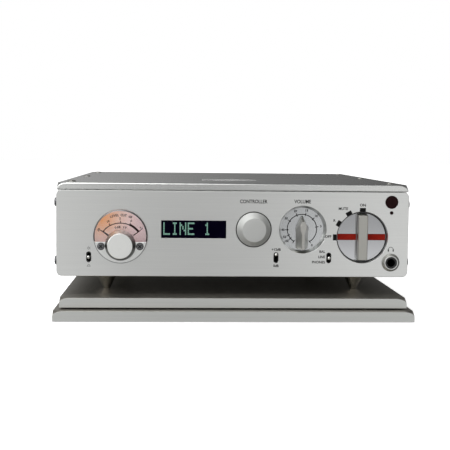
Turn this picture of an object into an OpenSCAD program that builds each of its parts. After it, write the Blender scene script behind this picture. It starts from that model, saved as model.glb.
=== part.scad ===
// Stereo preamplifier in a low metal case that stands on a two-tier isolation base.
// Millimetres. +Z is up, the front faces -Y, and the origin lies under the middle of the base.
// Places on the front and rear are given as x from the middle and z above the case's lower edge.

/* [Case] */
// Width of the front panel
panel_w = 277; // [272:1:300]
// Height of the front panel
panel_h = 67.3; // [66:0.1:80]
// Thickness of the front panel
panel_t = 6; // [5:0.5:7]
// Corner radius of the front panel
panel_corner_r = 4; // [1:0.5:6]
// Depth of the case from front face to rear face
case_d = 322; // [316:1:360]
// Step from the panel's ends in to the side walls
side_inset = 0.6; // [0.2:0.1:1]
// Thickness of the side walls
side_t = 4; // [3:0.5:4.5]
// Width of the flanges folded in from the side walls
flange_w = 14; // [12:0.5:16]
// Thickness of those flanges
flange_t = 2.2; // [1.5:0.1:2.4]
// Thickness of the bottom plate
bottom_t = 3; // [2:0.1:3]
// Thickness of the rear panel
rear_t = 3; // [2:0.5:4]

/* [Lid] */
// Thickness of the lid
lid_t = 5.2; // [4.5:0.1:8]
// Dark seam between the lid and the front panel
lid_seam = 0.4; // [0.1:0.1:1]
// Width of the cut across each front corner, on the front face
lid_cut_w = 9; // [4:0.5:14]
// Height of that cut on the front face
lid_cut_h = 4.4; // [2:0.1:4.4]
// Distance that the cut runs back to the square corner
lid_cut_back = 8; // [4:0.5:14]
// Diameter of the field of vent holes
vent_field_d = 50; // [30:1:70]
// Diameter of one vent hole
vent_d = 2.4; // [1.5:0.1:3]
// Spacing of the vent holes
vent_pitch = 4.6; // [4:0.1:6]
// Middle of the vent field behind the front face
vent_from_front = 95; // [80:1:110]
// Distance of the lid screws in from the side
lid_screw_in = 8.4; // [7:0.1:9]
// Distance of the end lid screws from the front and the rear
lid_screw_end = 30; // [25:1:40]

/* [Base] */
// Width of the lower base plate
lower_w = 277; // [270:1:300]
// Depth of the lower base plate
lower_d = 376.8; // [366:0.1:400]
// Thickness of the lower base plate
lower_t = 7.9; // [7:0.1:12]
// Width of the upper base plate
upper_w = 268.6; // [250:0.1:270]
// Depth of the upper base plate
upper_d = 357.8; // [330:0.1:365]
// Thickness of the upper base plate
upper_t = 7.5; // [6:0.1:12]
// Open gap between the two plates
plate_gap = 1.2; // [0.8:0.1:4]
// Width of the cut across the plates' front corners
plate_cut_w = 9; // [4:0.5:14]
// Height of that cut
plate_cut_h = 3.8; // [2:0.1:5]
// Distance that the cut runs back
plate_cut_back = 6.5; // [4:0.5:14]
// Diameter of the elastomer pucks between the plates
puck_d = 22; // [14:1:30]
// Depth of the pockets that hold a puck
puck_pocket = 2.5; // [1:0.1:3]
// Diameter of the pads under the lower plate
pad_d = 26; // [16:1:36]
// Depth of the pockets that hold a pad
pad_pocket = 2; // [1:0.1:3]
// Height of the pads below the lower plate
pad_proud = 0.6; // [0.4:0.1:3]
// Distance of pucks and pads in from the sides of the upper plate
puck_in = 24; // [20:1:40]
// Height of the cone feet
foot_h = 14.6; // [10:0.1:25]
// Diameter of a foot's collar
foot_d = 17; // [14:0.5:24]
// Height of a foot's collar
foot_collar_h = 4; // [2:0.5:5]
// Diameter of a foot's tip
foot_tip_d = 5; // [3:0.5:8]
// Distance of the feet from the middle, across
foot_x = 101.6; // [80:0.1:104]
// Distance of the feet in from the front and rear faces
foot_in = 36; // [30:1:38]

/* [Meter] */
// Middle of the meter, across
meter_x = -88.55; // [-89:0.05:-86]
// Middle of the meter above the case's lower edge
meter_z = 31.35; // [31:0.05:33]
// Radius of the meter's opening
meter_r = 21.1; // [19.5:0.1:21.5]
// Height of the lens in front of the panel
lens_proud = 2; // [1:0.1:3]
// Thickness of the lens
lens_t = 2.5; // [1.5:0.1:3]
// Depth of the dial's face behind the panel's face
dial_setback = 8; // [7.5:0.1:10]
// Distance of the needle pivot below the middle
pivot_drop = 6.85; // [5:0.05:7.2]
// Distance of the mask's straight edge below the middle
mask_drop = 4.15; // [3.5:0.05:4.5]
// Length of a needle from its pivot
needle_len = 16.8; // [14:0.1:17.5]
// Angle of a needle at rest, left of straight up
needle_rest = 53; // [40:1:55]
// Diameter of the boss where it meets the mask
boss_base_d = 24; // [22:0.5:26]
// Diameter of the boss's face
boss_face_d = 19.6; // [16:0.1:21]
// Height of the boss
boss_h = 8; // [5:0.5:12]
// Distance of the mask's screws from the middle line
mask_screw_x = 15.1; // [14.5:0.1:15.3]
// Diameter of the mask's screw heads
mask_screw_d = 5.2; // [4:0.1:5.4]
// Depth of the meter's can behind the panel
meter_can_d = 26; // [22:1:34]

/* [Display and controller] */
// Middle of the display window, across
display_x = -31.45; // [-32:0.05:-28]
// Middle of the display window, up
display_z = 37.05; // [33:0.05:40]
// Width of the display window
display_w = 50.9; // [40:0.1:51]
// Height of the display window
display_h = 13.9; // [10:0.1:16]
// Depth of the circuit board behind the panel's face
board_setback = 15; // [14.5:0.1:18]
// Middle of the controller knob, across
control_x = 15.65; // [15:0.05:17]
// Middle of the controller knob, up
control_z = 37.3; // [33:0.05:40]
// Radius of the controller knob at the panel
control_r = 13.7; // [11:0.1:14]
// Radius of its face
control_face_r = 9; // [7:0.1:10]
// Height of the controller knob
control_h = 7.7; // [6:0.1:12]
// Travel of the controller when it is pushed
control_push = 0.8; // [0.4:0.1:1]

/* [Volume and selector] */
// Middle of the volume dial, across
volume_x = 54.5; // [53:0.05:55]
// Middle of the volume dial, up
volume_z = 37.4; // [36:0.05:39]
// Radius of the conical opening over the volume dial, at the panel's face
volume_r = 18.8; // [18:0.1:19]
// Run of that cone towards the dial
volume_slope = 1.9; // [1:0.1:2]
// Thickness of the volume dial's disc behind the panel
volume_dial_t = 1.6; // [1:0.1:2.5]
// Width of the pointer knob at its foot
pointer_w = 9.7; // [8.5:0.1:12]
// Length of the pointer knob above its axis
pointer_up = 10.6; // [9:0.1:13]
// Length of the pointer knob below its axis
pointer_down = 16; // [12:0.1:16]
// Height of the pointer knob
pointer_h = 9.8; // [8:0.1:13]
// Width of the pointer knob's ridge
ridge_w = 2.2; // [2:0.1:3]
// Width of the flat on the pointer knob's head
head_w = 4.9; // [4:0.1:6]
// Middle of the selector, across
selector_x = 101.8; // [101:0.05:103]
// Middle of the selector, up
selector_z = 31.5; // [30:0.05:33]
// Radius of the conical opening round the selector, at the panel's face
selector_r = 20.5; // [19:0.1:21]
// Run of that cone towards the selector's disc
selector_slope = 0.6; // [0.2:0.1:1]
// Thickness of the selector's disc
selector_t = 1.2; // [1:0.1:2]
// Width of the selector's grip
grip_w = 7.5; // [7.2:0.1:9]
// Height of the selector's grip above its disc
grip_h = 7.9; // [6:0.1:10]
// Lean of the grip's ends in from its foot to its top
grip_lean = 1.7; // [0.5:0.1:2.5]
// Width of the concave foot beside the grip
grip_foot = 0.6; // [0.4:0.1:1.5]
// Width of the red stripe
stripe_w = 4.7; // [3:0.1:6]
// Radius of the control shafts
shaft_r = 3; // [2.5:0.05:3]
// Radius of the threaded bushes that hold the controls
bush_r = 5; // [4.8:0.1:5.5]

/* [Levers, sockets and windows] */
// Height of the three levers
lever_z = 15.1; // [13:0.1:17]
// Middle of the gain lever, across
gain_x = 33.55; // [32:0.05:36]
// Middle of the output lever, across
output_x = 75.4; // [74:0.05:77]
// Distance of the lamp lever to the left of the meter's opening
lamp_gap = 3.65; // [3.6:0.05:5]
// Width of the lever slots
slot_w = 2.8; // [2.7:0.1:4]
// Length of the lever slots
slot_l = 7.4; // [7.4:0.1:9]
// Wall of the black liners in the lever slots
liner_t = 0.4; // [0.3:0.1:0.8]
// Depth of a lever's pivot behind the panel's face
lever_setback = 8.5; // [8.2:0.1:9.5]
// Length of a lever from its pivot to the middle of its tip
lever_len = 10.5; // [10.4:0.1:12]
// Radius of a lever's round tip
lever_tip_r = 1.25; // [1.1:0.05:1.3]
// Tilt of a lever to either side of straight out
lever_tilt = 15; // [10:1:15]
// Distance of the remote window and the headphone socket from the panel's right end
right_column = 13.75; // [13.7:0.05:15]
// Height of the remote control window
remote_z = 59.5; // [57:0.1:60]
// Height of the status lamp
led_z = 51.1; // [50:0.1:52]
// Height of the headphone socket
jack_z = 11.7; // [11.6:0.1:13]
// Radius of the remote control window
remote_r = 5; // [4:0.1:5.5]
// Radius of the headphone socket's bore
jack_bore_r = 3.25; // [3.2:0.01:3.3]
// Radius of the headphone socket's nut
jack_nut_r = 7.1; // [6.5:0.1:8]
// Radius of a phono socket's shell
phono_r = 4.15; // [4.1:0.01:4.2]
// Length of a phono socket's shell
phono_l = 9.5; // [8:0.1:12]
// Depth of the contact pins inside the rim of a socket
pin_setback = 5; // [4.5:0.1:6]

/* [Inside] */
// Height of the main board above the bottom plate
board_lift = 8; // [6:0.5:12]
// Radius of a valve's glass
valve_r = 10.5; // [9:0.1:11]
// Length of a valve in front of its socket
valve_l = 56; // [45:1:60]
// Radius of the toroidal transformer
toroid_r = 33; // [28:1:34]
// Height of the toroidal transformer
toroid_h = 34; // [25:1:40]

/* [Hidden] */
$fn = 64;
hull_fn = 32;
// Room round a shaft that turns, round a piece that is fixed, and between pieces that move apart
run_clear = 0.05;
seat_clear = 0.1;
move_clear = 0.4;
skin = 0.02;
cut = 1;

// Levels, from the floor up
z_lower = pad_proud;
z_upper = z_lower + lower_t + plate_gap;
z_foot = z_upper + upper_t;
z_case = z_foot + foot_h;
z_floor = z_case + bottom_t;
z_lid = z_case + panel_h + lid_seam;
y_front = -case_d / 2;
y_inner = y_front + panel_t;
y_rear = case_d / 2;
y_rear_inner = y_rear - rear_t;
case_hw = panel_w / 2 - side_inset;
wall_x = case_hw - side_t;

// Places across the front and the rear are given for this panel width and keep their share of it
layout_w = 277;
function across(x) = x * panel_w / layout_w;
meter_place = [across(meter_x), meter_z];
display_place = [across(display_x), display_z];
control_place = [across(control_x), control_z];
volume_place = [across(volume_x), volume_z];
selector_place = [across(selector_x), selector_z];

// Screws that hold the case together
screw_r = 2;
screw_head_r = 3.5;
side_screw_behind = 10;
side_screw_zs = [11.3, 57.4];
side_head_h = 2.9;
lid_head_rise = 1;
ear_t = 2.5;
ear_half = 4.5;
ear_d = 9;
rear_screw_zs = [12, 56];
rear_screw_x = wall_x - (flange_w - side_t) / 2;
lid_screw_x = case_hw - lid_screw_in;
lid_screw_ys = [y_front + lid_screw_end, 0, y_rear - lid_screw_end];
puck_x = upper_w / 2 - puck_in;
puck_y = upper_d / 2 - puck_in;
foot_y = y_rear - foot_in;
foot_stud_r = 2.5;
foot_stud_over = 4;
foot_stud_h = bottom_t + foot_stud_over;

// Meter stack, as distances along the meter's axis, out of the panel's face
mask_face = lens_proud + 0.3;
lens_back = lens_proud - lens_t;
dial_t = 1;
can_wall = 1.2;
can_bore_r = meter_r + 0.9;
can_back = -panel_t - meter_can_d;
ledge_t = 2;
ledge_w = 3;
movement_r = 10;
movement_drop = 3;
movement_top = -dial_setback - dial_t - movement_drop;
staff_in = 4;
post_hole_d = 4;
hub_r = 2.6;
hub_t = 1;
needle_w = 0.9;
needle_t = 0.6;
staff_r = 0.9;
tube_r = 1.9;
front_hub_z = lens_back - 2.2;
rear_hub_z = front_hub_z - hub_t - 0.9;
mask_screw_drop = pivot_drop + 0.85;
mask_post_r = 2.2;
mask_shank_r = 1.2;

// Display and controller stack
window_flange = 1.8;
window_flange_t = 1.5;
window_inset = 0.3;
module_margin = 2;
pcb_t = 1.6;
encoder_half = 9;
knob_sink = 0.5;
knob_recess = knob_sink + control_push + 0.3;
sleeve_r = shaft_r + 1.2;
sleeve_top = -knob_recess - 0.4;
sleeve_l = 8;
encoder_bore_end = sleeve_top - sleeve_l - control_push - 2.4;

// Volume and selector stacks
volume_dial_r = volume_r + 1.2;
volume_back = -panel_t - volume_dial_t;
bush_sink = 0.4;
pot_r = 13;
pot_l = 20;
motor_r = 9;
motor_l = 26;
volume_knob_z = -panel_t + move_clear;
knob_bore = 5;
switch_r = 14;
switch_l = 22;
switch_flange_t = 1.6;
switch_flange_r = selector_r + 1;
switch_back = -panel_t - switch_flange_t;
selector_disc_r = selector_r - selector_slope - move_clear;
selector_bevel = 0.3;
selector_z0 = -panel_t + move_clear;
selector_z1 = selector_z0 + selector_t;
selector_bore = 5;
shaft_in = panel_t + 11;
stripe_t = 0.5;

// Levers: name order is lamp, gain, output
lever_places = [
    [meter_place[0] - meter_r - lamp_gap, lever_z], [across(gain_x), lever_z], [across(output_x), lever_z]
];
lever_rod_r = 1;
lever_ball_r = 1.6;
lever_pin_r = 0.7;
lever_pin_half = 2.7;
toggle_half_w = 3.5;
toggle_half_h = 6;
toggle_back = -20;
cavity_half_w = 2.2;
cavity_half_h = 4.6;
cavity_d = 4;

// Windows and the headphone socket
remote_place = [panel_w / 2 - right_column, remote_z];
led_place = [remote_place[0], led_z];
led_r = 1.2;
sensor_board_z = -panel_t - 2.4;
jack_place = [remote_place[0], jack_z];
jack_neck_r = 4.5;
jack_neck_h = 2.4;
jack_nut_h = 3;
jack_face_r = 5.4;
jack_body_r = 6.2;
jack_body_l = 30;
jack_bore_l = 36;

// Rear sockets
phono_x = 66;
phono_pitch = 16;
phono_xs = [for (i = [0:3]) across(phono_x + i * phono_pitch)];
phono_zs = [22, 44];
phono_wall = 0.7;
phono_flange_r = 5.8;
phono_flange_t = 1.5;
phono_thread_r = 3;
phono_thread_l = 9;
phono_contact_r = 1.6;
input_x = 10;
output_back_x = -58;
balanced_pitch = 32;
input_xs = [across(input_x), across(input_x + balanced_pitch)];
output_xs = [across(output_back_x), across(output_back_x + balanced_pitch)];
balanced_z = 38;
balanced_w = 26;
balanced_h = 31;
balanced_t = 2;
balanced_body_r = 11.8;
balanced_body_l = 20;
balanced_mouth_r = 9.3;
balanced_mouth_d = 13;
contact_circle_r = 4;
contact_r = 1.2;
inlet_x = -104;
inlet_z = 32;
inlet_place = [across(inlet_x), inlet_z];
inlet_w = 48;
inlet_h = 24;
inlet_flange_t = 2.5;
inlet_body_w = 28;
inlet_body_h = 20;
inlet_body_l = 24;
inlet_mouth_w = 24.6;
inlet_mouth_h = 16.6;
inlet_mouth_d = 16;
inlet_corner = 4;
blade_w = 2;
blade_h = 4;
blade_gap = 7;
ground_x = 54;
ground_z = 12;
ground_place = [across(ground_x), ground_z];

// Inside
main_board_hw = 105;
main_board_y0 = 10;
main_board_gap = 14;
main_board_y1 = y_rear_inner - main_board_gap;
standoff_r = 3;
standoff_in = 8;
z_board = z_floor + board_lift;
capacitor_r = 9;
capacitor_h = 34;
capacitor_in = 27;
capacitor_back = 40;
capacitor_pitch = 24;
capacitor_places = [
    for (i = [0, 1], j = [0, 1])
        [
            capacitor_in - main_board_hw + i * capacitor_pitch,
            main_board_y0 + capacitor_back + j * capacitor_pitch
        ]
];
toroid_gap = 16;
toroid_behind = 88;
toroid_place = [-wall_x + toroid_gap + toroid_r, y_front + toroid_behind];
toroid_hole_r = 10;
toroid_cap_t = 2;
toroid_bolt_r = 3;
toroid_bolt_over = 4;
// The row of valves starts beside the transformer, with the first one's glass just over its edge
valve_overhang = 0.6;
valve_pitch = 28;
valve_row_x = toroid_place[0] + toroid_r + valve_r - valve_overhang;
valve_xs = [for (i = [0:3]) valve_row_x + i * valve_pitch];
valve_up = 40;
valve_z = z_case + valve_up;
bracket_behind = 145;
bracket_y = y_front + bracket_behind;
bracket_t = 3;
bracket_end = 18;
bracket_x0 = valve_xs[0] - bracket_end;
bracket_x1 = valve_xs[3] + bracket_end;
bracket_h = 56;
bracket_foot = 16;
socket_r = 11;
socket_t = 8;

// A place on the front: local z points out of the panel's face, local y points up
module on_panel(place) {
    translate([place[0], y_front, z_case + place[1]]) rotate([90, 0, 0]) children();
}

// A place on the rear: local z points out of the rear face, local y points up
module on_rear(place) {
    translate([place[0], y_rear, z_case + place[1]]) rotate([90, 0, 180]) children();
}

// The level meter's own middle
module on_meter() {
    on_panel(meter_place) children();
}

// A box between two corners
module block(low, high) {
    translate(low) cube(high - low);
}

// A round rod along local z
module rod(r, z0, z1) {
    translate([0, 0, z0]) cylinder(r = r, h = z1 - z0);
}

module tube(r_out, r_in, z0, z1) {
    difference() {
        rod(r_out, z0, z1);
        rod(r_in, z0 - cut, z1 + cut);
    }
}

module rounded_rect(w, h, r) {
    square([w - 2 * r, h], center = true);
    square([w, h - 2 * r], center = true);
    for (sx = [-1, 1], sy = [-1, 1]) {
        translate([sx * (w / 2 - r), sy * (h / 2 - r)]) circle(r = r);
    }
}

module round_slot(w, l) {
    square([w, l - w], center = true);
    for (s = [-1, 1]) {
        translate([0, s * (l - w) / 2]) circle(d = w);
    }
}

// Front view of a plate whose upper corners are rounded off
module cut_corner_profile(w, t, cut_w, cut_h) {
    translate([-w / 2, 0]) square([w, t - cut_h]);
    translate([cut_w - w / 2, 0]) square([w - 2 * cut_w, t]);
    intersection() {
        translate([-w / 2, 0]) square([w, t]);
        for (s = [-1, 1]) {
            translate([s * (w / 2 - cut_w), t - cut_h]) scale([cut_w, cut_h]) circle(r = 1, $fn = hull_fn);
        }
    }
}

// Plate with its front face at y = 0, whose rounded front corners run back to square ones
module cut_corner_plate(w, d, t, cut_w, cut_h, cut_back) {
    hull() {
        translate([0, skin, 0]) rotate([90, 0, 0]) linear_extrude(skin)
            cut_corner_profile(w, t, cut_w, cut_h);
        block([-w / 2, cut_back - skin, 0], [w / 2, cut_back, t]);
    }
    block([-w / 2, cut_back, 0], [w / 2, d, t]);
}

module at_pucks() {
    for (sx = [-1, 1], sy = [-1, 1]) {
        translate([sx * puck_x, sy * puck_y, 0]) children();
    }
}

module at_feet() {
    for (sx = [-1, 1], sy = [-1, 1]) {
        translate([sx * foot_x, sy * foot_y, z_case]) children();
    }
}

module at_lid_screws() {
    for (sx = [-1, 1], y = lid_screw_ys) {
        translate([sx * lid_screw_x, y, z_lid + lid_t]) children();
    }
}

// Side screws: local z points out of the right or left wall
module at_side_screws() {
    for (s = [-1, 1], z = side_screw_zs) {
        translate([s * case_hw, y_front + side_screw_behind, z_case + z]) rotate([0, s * 90, 0]) children();
    }
}

module at_rear_screws() {
    for (s = [-1, 1], z = rear_screw_zs) {
        on_rear([s * rear_screw_x, z]) children();
    }
}

module at_levers() {
    for (place = lever_places) {
        on_panel(place) children();
    }
}

module lower_plate() {
    color("silver") difference() {
        translate([0, -lower_d / 2, z_lower])
            cut_corner_plate(lower_w, lower_d, lower_t, plate_cut_w, plate_cut_h, plate_cut_back);
        at_pucks() rod(puck_d / 2 + seat_clear, z_lower + lower_t - puck_pocket, z_lower + lower_t + cut);
        at_pucks() rod(pad_d / 2 + seat_clear, z_lower - cut, z_lower + pad_pocket);
    }
}

module upper_plate() {
    color("silver") difference() {
        translate([0, -upper_d / 2, z_upper])
            cut_corner_plate(upper_w, upper_d, upper_t, plate_cut_w, plate_cut_h, plate_cut_back);
        at_pucks() rod(puck_d / 2 + seat_clear, z_upper - cut, z_upper + puck_pocket);
    }
}

module isolation_pucks() {
    color("dimgray") at_pucks() rod(puck_d / 2, z_upper - plate_gap - puck_pocket, z_upper + puck_pocket);
}

module base_pads() {
    color("black") at_pucks() rod(pad_d / 2, 0, z_lower + pad_pocket);
}

// A turned foot: collar, cone and small flat tip, with a stud up into the case
module cone_feet() {
    color("gainsboro") at_feet() {
        rotate_extrude() polygon([
            [0, -foot_h], [foot_tip_d / 2, -foot_h], [foot_d / 2 - 1, -foot_collar_h],
            [foot_d / 2, -foot_collar_h + 1], [foot_d / 2, 0], [0, 0]
        ]);
        rod(foot_stud_r, -cut, foot_stud_h);
    }
}

module bottom_plate() {
    color("silver") difference() {
        block([-case_hw, y_inner, z_case], [case_hw, y_rear_inner, z_floor]);
        at_feet() rod(foot_stud_r + seat_clear, -cut, foot_stud_h);
    }
}

// Right side wall: an upright web with flanges folded in along its top, bottom and rear edges
module side_wall() {
    difference() {
        union() {
            block([wall_x, y_inner, z_floor], [case_hw, y_rear_inner, z_lid]);
            block([case_hw - flange_w, y_inner, z_floor], [case_hw, y_rear_inner, z_floor + flange_t]);
            block([case_hw - flange_w, y_inner, z_lid - flange_t], [case_hw, y_rear_inner, z_lid]);
            block([case_hw - flange_w, y_rear_inner - flange_t, z_floor], [case_hw, y_rear_inner, z_lid]);
        }
        at_side_screws() rod(screw_r + seat_clear, -side_t - cut, cut);
        at_lid_screws() rod(screw_r + seat_clear, -lid_t - flange_t - cut, 0);
        at_rear_screws() rod(screw_r + seat_clear, -rear_t - flange_t - cut, 0);
    }
}

module right_side() {
    color("darkgray") side_wall();
}

module left_side() {
    color("darkgray") mirror([1, 0, 0]) side_wall();
}

// Conical opening through the panel, wider at its face
module well(face_r, back_r) {
    run = cut * (face_r - back_r) / panel_t;
    rotate_extrude() polygon([
        [0, -panel_t - cut], [back_r - run, -panel_t - cut], [face_r + run, cut], [0, cut]
    ]);
}

// Front panel with ears behind its ends that take the side screws
module front_panel() {
    color("silver") difference() {
        union() {
            translate([0, y_inner, z_case + panel_h / 2]) rotate([90, 0, 0])
                linear_extrude(panel_t) rounded_rect(panel_w, panel_h, panel_corner_r);
            for (s = [-1, 1], z = side_screw_zs) {
                translate([s * (wall_x - seat_clear - ear_t / 2), y_inner + ear_d / 2, z_case + z])
                    cube([ear_t, ear_d, 2 * ear_half], center = true);
            }
        }
        at_side_screws() rod(screw_r + seat_clear, -side_t - ear_t - cut, cut);
        on_meter() rod(meter_r, -panel_t - cut, cut);
        on_panel(display_place) translate([-display_w / 2, -display_h / 2, -panel_t - cut])
            cube([display_w, display_h, panel_t + 2 * cut]);
        on_panel(control_place) rod(bush_r + seat_clear, -panel_t - cut, cut);
        on_panel(control_place) rod(control_r + move_clear, -knob_recess, cut);
        on_panel(volume_place) well(volume_r, volume_r - volume_slope);
        on_panel(selector_place) well(selector_r, selector_r - selector_slope);
        at_levers() translate([0, 0, -panel_t - cut]) linear_extrude(panel_t + 2 * cut)
            round_slot(slot_w + 2 * liner_t + 2 * seat_clear, slot_l + 2 * liner_t + 2 * seat_clear);
        on_panel(remote_place) rod(remote_r + seat_clear, -panel_t - cut, cut);
        on_panel(led_place) rod(led_r + seat_clear, -panel_t - cut, cut);
        on_panel(jack_place) rod(jack_neck_r + seat_clear, -panel_t - cut, cut);
    }
}

module rear_panel() {
    color("silver") difference() {
        block([-case_hw, y_rear_inner, z_case], [case_hw, y_rear, z_lid]);
        at_rear_screws() rod(screw_r + seat_clear, -rear_t - cut, cut);
        for (x = phono_xs, z = phono_zs) {
            on_rear([x, z]) rod(phono_thread_r + seat_clear, -rear_t - cut, cut);
        }
        for (x = concat(input_xs, output_xs)) {
            on_rear([x, balanced_z]) rod(balanced_body_r + seat_clear, -rear_t - cut, cut);
        }
        on_rear(inlet_place) translate([0, 0, -rear_t / 2])
            cube([inlet_body_w + 2 * seat_clear, inlet_body_h + 2 * seat_clear, rear_t + cut], center = true);
        on_rear(ground_place) rod(screw_r + seat_clear, -rear_t - cut, cut);
    }
}

// Lid with its staggered field of round vents and countersunk screw holes
module lid() {
    row_step = vent_pitch * sin(60);
    rows = floor(vent_field_d / 2 / row_step);
    columns = ceil(vent_field_d / 2 / vent_pitch);
    vents = [
        for (row = [-rows:rows], column = [-columns:columns])
            let (x = (column + (row % 2 == 0 ? 0 : 0.5)) * vent_pitch, y = row * row_step)
                if (norm([x, y]) <= vent_field_d / 2) [x, y]
    ];
    color("darkgray") difference() {
        translate([0, y_front, z_lid])
            cut_corner_plate(2 * case_hw, case_d, lid_t, lid_cut_w, lid_cut_h, lid_cut_back);
        for (vent = vents) {
            translate([vent[0], y_front + vent_from_front + vent[1], z_lid])
                rod(vent_d / 2, -cut, lid_t + cut);
        }
        at_lid_screws() screw_space(lid_t);
    }
}

// Countersunk screw with a raised head and a hexagon socket, and the space that it needs through a plate
module countersunk_screw(length) {
    difference() {
        rotate_extrude() polygon([
            [0, -length], [screw_r, -length], [screw_r, screw_r - screw_head_r], [screw_head_r, 0],
            [0.92 * screw_head_r, 0.45 * lid_head_rise], [0.72 * screw_head_r, 0.8 * lid_head_rise],
            [0.4 * screw_head_r, lid_head_rise], [0, lid_head_rise]
        ]);
        translate([0, 0, -screw_r / 2]) cylinder(r = screw_r / 2, h = screw_r + lid_head_rise, $fn = 6);
    }
}

module screw_space(depth) {
    wide = screw_r + seat_clear;
    head = screw_head_r + seat_clear;
    rotate_extrude() polygon([
        [0, -depth - cut], [wide, -depth - cut], [wide, wide - head], [head, 0], [head, cut], [0, cut]
    ]);
}

module lid_screws() {
    color("gainsboro") at_lid_screws() countersunk_screw(lid_t + flange_t);
}

// Low round heads with a hexagon socket
module side_screws() {
    color("dimgray") at_side_screws() difference() {
        union() {
            rod(screw_head_r, 0, side_head_h);
            rod(screw_r, -side_t - ear_t, cut / 2);
        }
        translate([0, 0, side_head_h / 2]) cylinder(r = screw_r / 2, h = side_head_h, $fn = 6);
    }
}

module rear_screws() {
    color("dimgray") at_rear_screws() difference() {
        union() {
            rod(screw_head_r, 0, side_head_h);
            rod(screw_r, -rear_t - flange_t, cut / 2);
        }
        translate([0, 0, side_head_h / 2]) cylinder(r = screw_r / 2, h = side_head_h, $fn = 6);
    }
}

// Round can behind the panel, with an inner ledge for the dial
module meter_housing() {
    color("dimgray") on_meter() difference() {
        rod(can_bore_r + can_wall, can_back, -panel_t);
        rod(can_bore_r, -dial_setback - dial_t, -panel_t + cut);
        rod(can_bore_r - ledge_w, can_back + can_wall, 0);
        rod(can_bore_r, can_back + can_wall, -dial_setback - dial_t - ledge_t);
    }
}

// Dial plate with two posts that carry the mask
module meter_dial() {
    color("lightsalmon") on_meter() difference() {
        union() {
            rod(can_bore_r - seat_clear, -dial_setback - dial_t, -dial_setback);
            for (s = [-1, 1]) {
                translate([s * mask_screw_x, -mask_screw_drop, 0]) rod(mask_post_r, -dial_setback, lens_back);
            }
        }
        translate([0, -pivot_drop, 0])
            rod(tube_r + move_clear, -dial_setback - dial_t - cut, -dial_setback + cut);
        for (s = [-1, 1]) {
            translate([s * mask_screw_x, -mask_screw_drop, 0])
                rod(mask_shank_r + seat_clear, lens_back - post_hole_d, cut);
        }
    }
}

// Magnet and coil case, standing on the floor of the can
module meter_movement() {
    color("gray") on_meter() translate([0, -pivot_drop, 0])
        tube(movement_r, staff_r + run_clear, can_back + can_wall, movement_top);
}

module needle_arm(z) {
    rotate([0, 0, needle_rest]) translate([-needle_w / 2, 0, z]) cube([needle_w, needle_len, needle_t]);
}

// Needle of one channel, on a solid staff
module front_needle() {
    color("black") on_meter() translate([0, -pivot_drop, 0]) {
        rod(hub_r, front_hub_z, front_hub_z + hub_t);
        rod(staff_r, movement_top - staff_in, front_hub_z + hub_t / 2);
        needle_arm(front_hub_z + hub_t / 2 - needle_t / 2);
    }
}

// Needle of the other channel, on a tube round the first one's staff
module rear_needle() {
    color("darkred") on_meter() translate([0, -pivot_drop, 0]) difference() {
        union() {
            rod(hub_r, rear_hub_z, rear_hub_z + hub_t);
            rod(tube_r, movement_top + move_clear, rear_hub_z + hub_t / 2);
            needle_arm(rear_hub_z + hub_t / 2 - needle_t / 2);
        }
        rod(staff_r + run_clear, -panel_t - meter_can_d, cut);
    }
}

// Clear lens over the upper part of the dial, with a turned edge
module meter_lens() {
    edge_r = meter_r - seat_clear;
    color("white", 0.3) on_meter() difference() {
        rotate_extrude() polygon([
            [0, lens_back], [edge_r, lens_back], [edge_r, lens_proud - 1],
            [edge_r - 1, lens_proud], [0, lens_proud]
        ]);
        block([-2 * meter_r, -2 * meter_r, lens_back - cut], [2 * meter_r, -mask_drop, lens_proud + cut]);
    }
}

// Metal mask over the lower part
module meter_mask() {
    color("silver") on_meter() difference() {
        rod(meter_r - seat_clear, lens_back, mask_face);
        block([-2 * meter_r, -mask_drop - seat_clear, lens_back - cut],
            [2 * meter_r, 2 * meter_r, mask_face + cut]);
        for (s = [-1, 1]) {
            translate([s * mask_screw_x, -mask_screw_drop, 0])
                rod(mask_shank_r + seat_clear, lens_back - cut, mask_face + cut);
        }
    }
}

// Turned boss that covers the pivot, hollow behind
module meter_boss() {
    boss_wall = 1.5;
    color("gainsboro") on_meter() translate([0, -pivot_drop, mask_face]) difference() {
        rotate_extrude() polygon([
            [0, 0], [boss_base_d / 2, 0], [boss_base_d / 2, 1], [boss_face_d / 2 + 0.6, boss_h - 0.8],
            [boss_face_d / 2, boss_h], [0, boss_h]
        ]);
        rod(boss_face_d / 2 - boss_wall, -cut, boss_h - boss_wall);
    }
}

module meter_screws() {
    head_h = 1.2;
    color("gainsboro") on_meter() for (s = [-1, 1]) {
        translate([s * mask_screw_x, -mask_screw_drop, mask_face]) difference() {
            union() {
                rod(mask_screw_d / 2, 0, head_h);
                rod(mask_shank_r, lens_back - mask_face - 3, cut / 2);
            }
            translate([-mask_screw_d, -mask_shank_r / 4, head_h / 2])
                cube([2 * mask_screw_d, mask_shank_r / 2, head_h]);
        }
    }
}

// Dark window with a rim that seats on the panel's back
module display_window() {
    color("black") on_panel(display_place) {
        translate([0, 0, -panel_t]) linear_extrude(panel_t - window_inset)
            square([display_w - 2 * seat_clear, display_h - 2 * seat_clear], center = true);
        translate([0, 0, -panel_t - window_flange_t]) linear_extrude(window_flange_t)
            square([display_w + 2 * window_flange, display_h + 2 * window_flange], center = true);
    }
}

module display_module() {
    color("darkslategray") on_panel(display_place) translate([0, 0, -board_setback])
        linear_extrude(board_setback - panel_t - window_flange_t)
            square([display_w + 2 * module_margin, display_h + 2 * module_margin], center = true);
}

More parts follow.
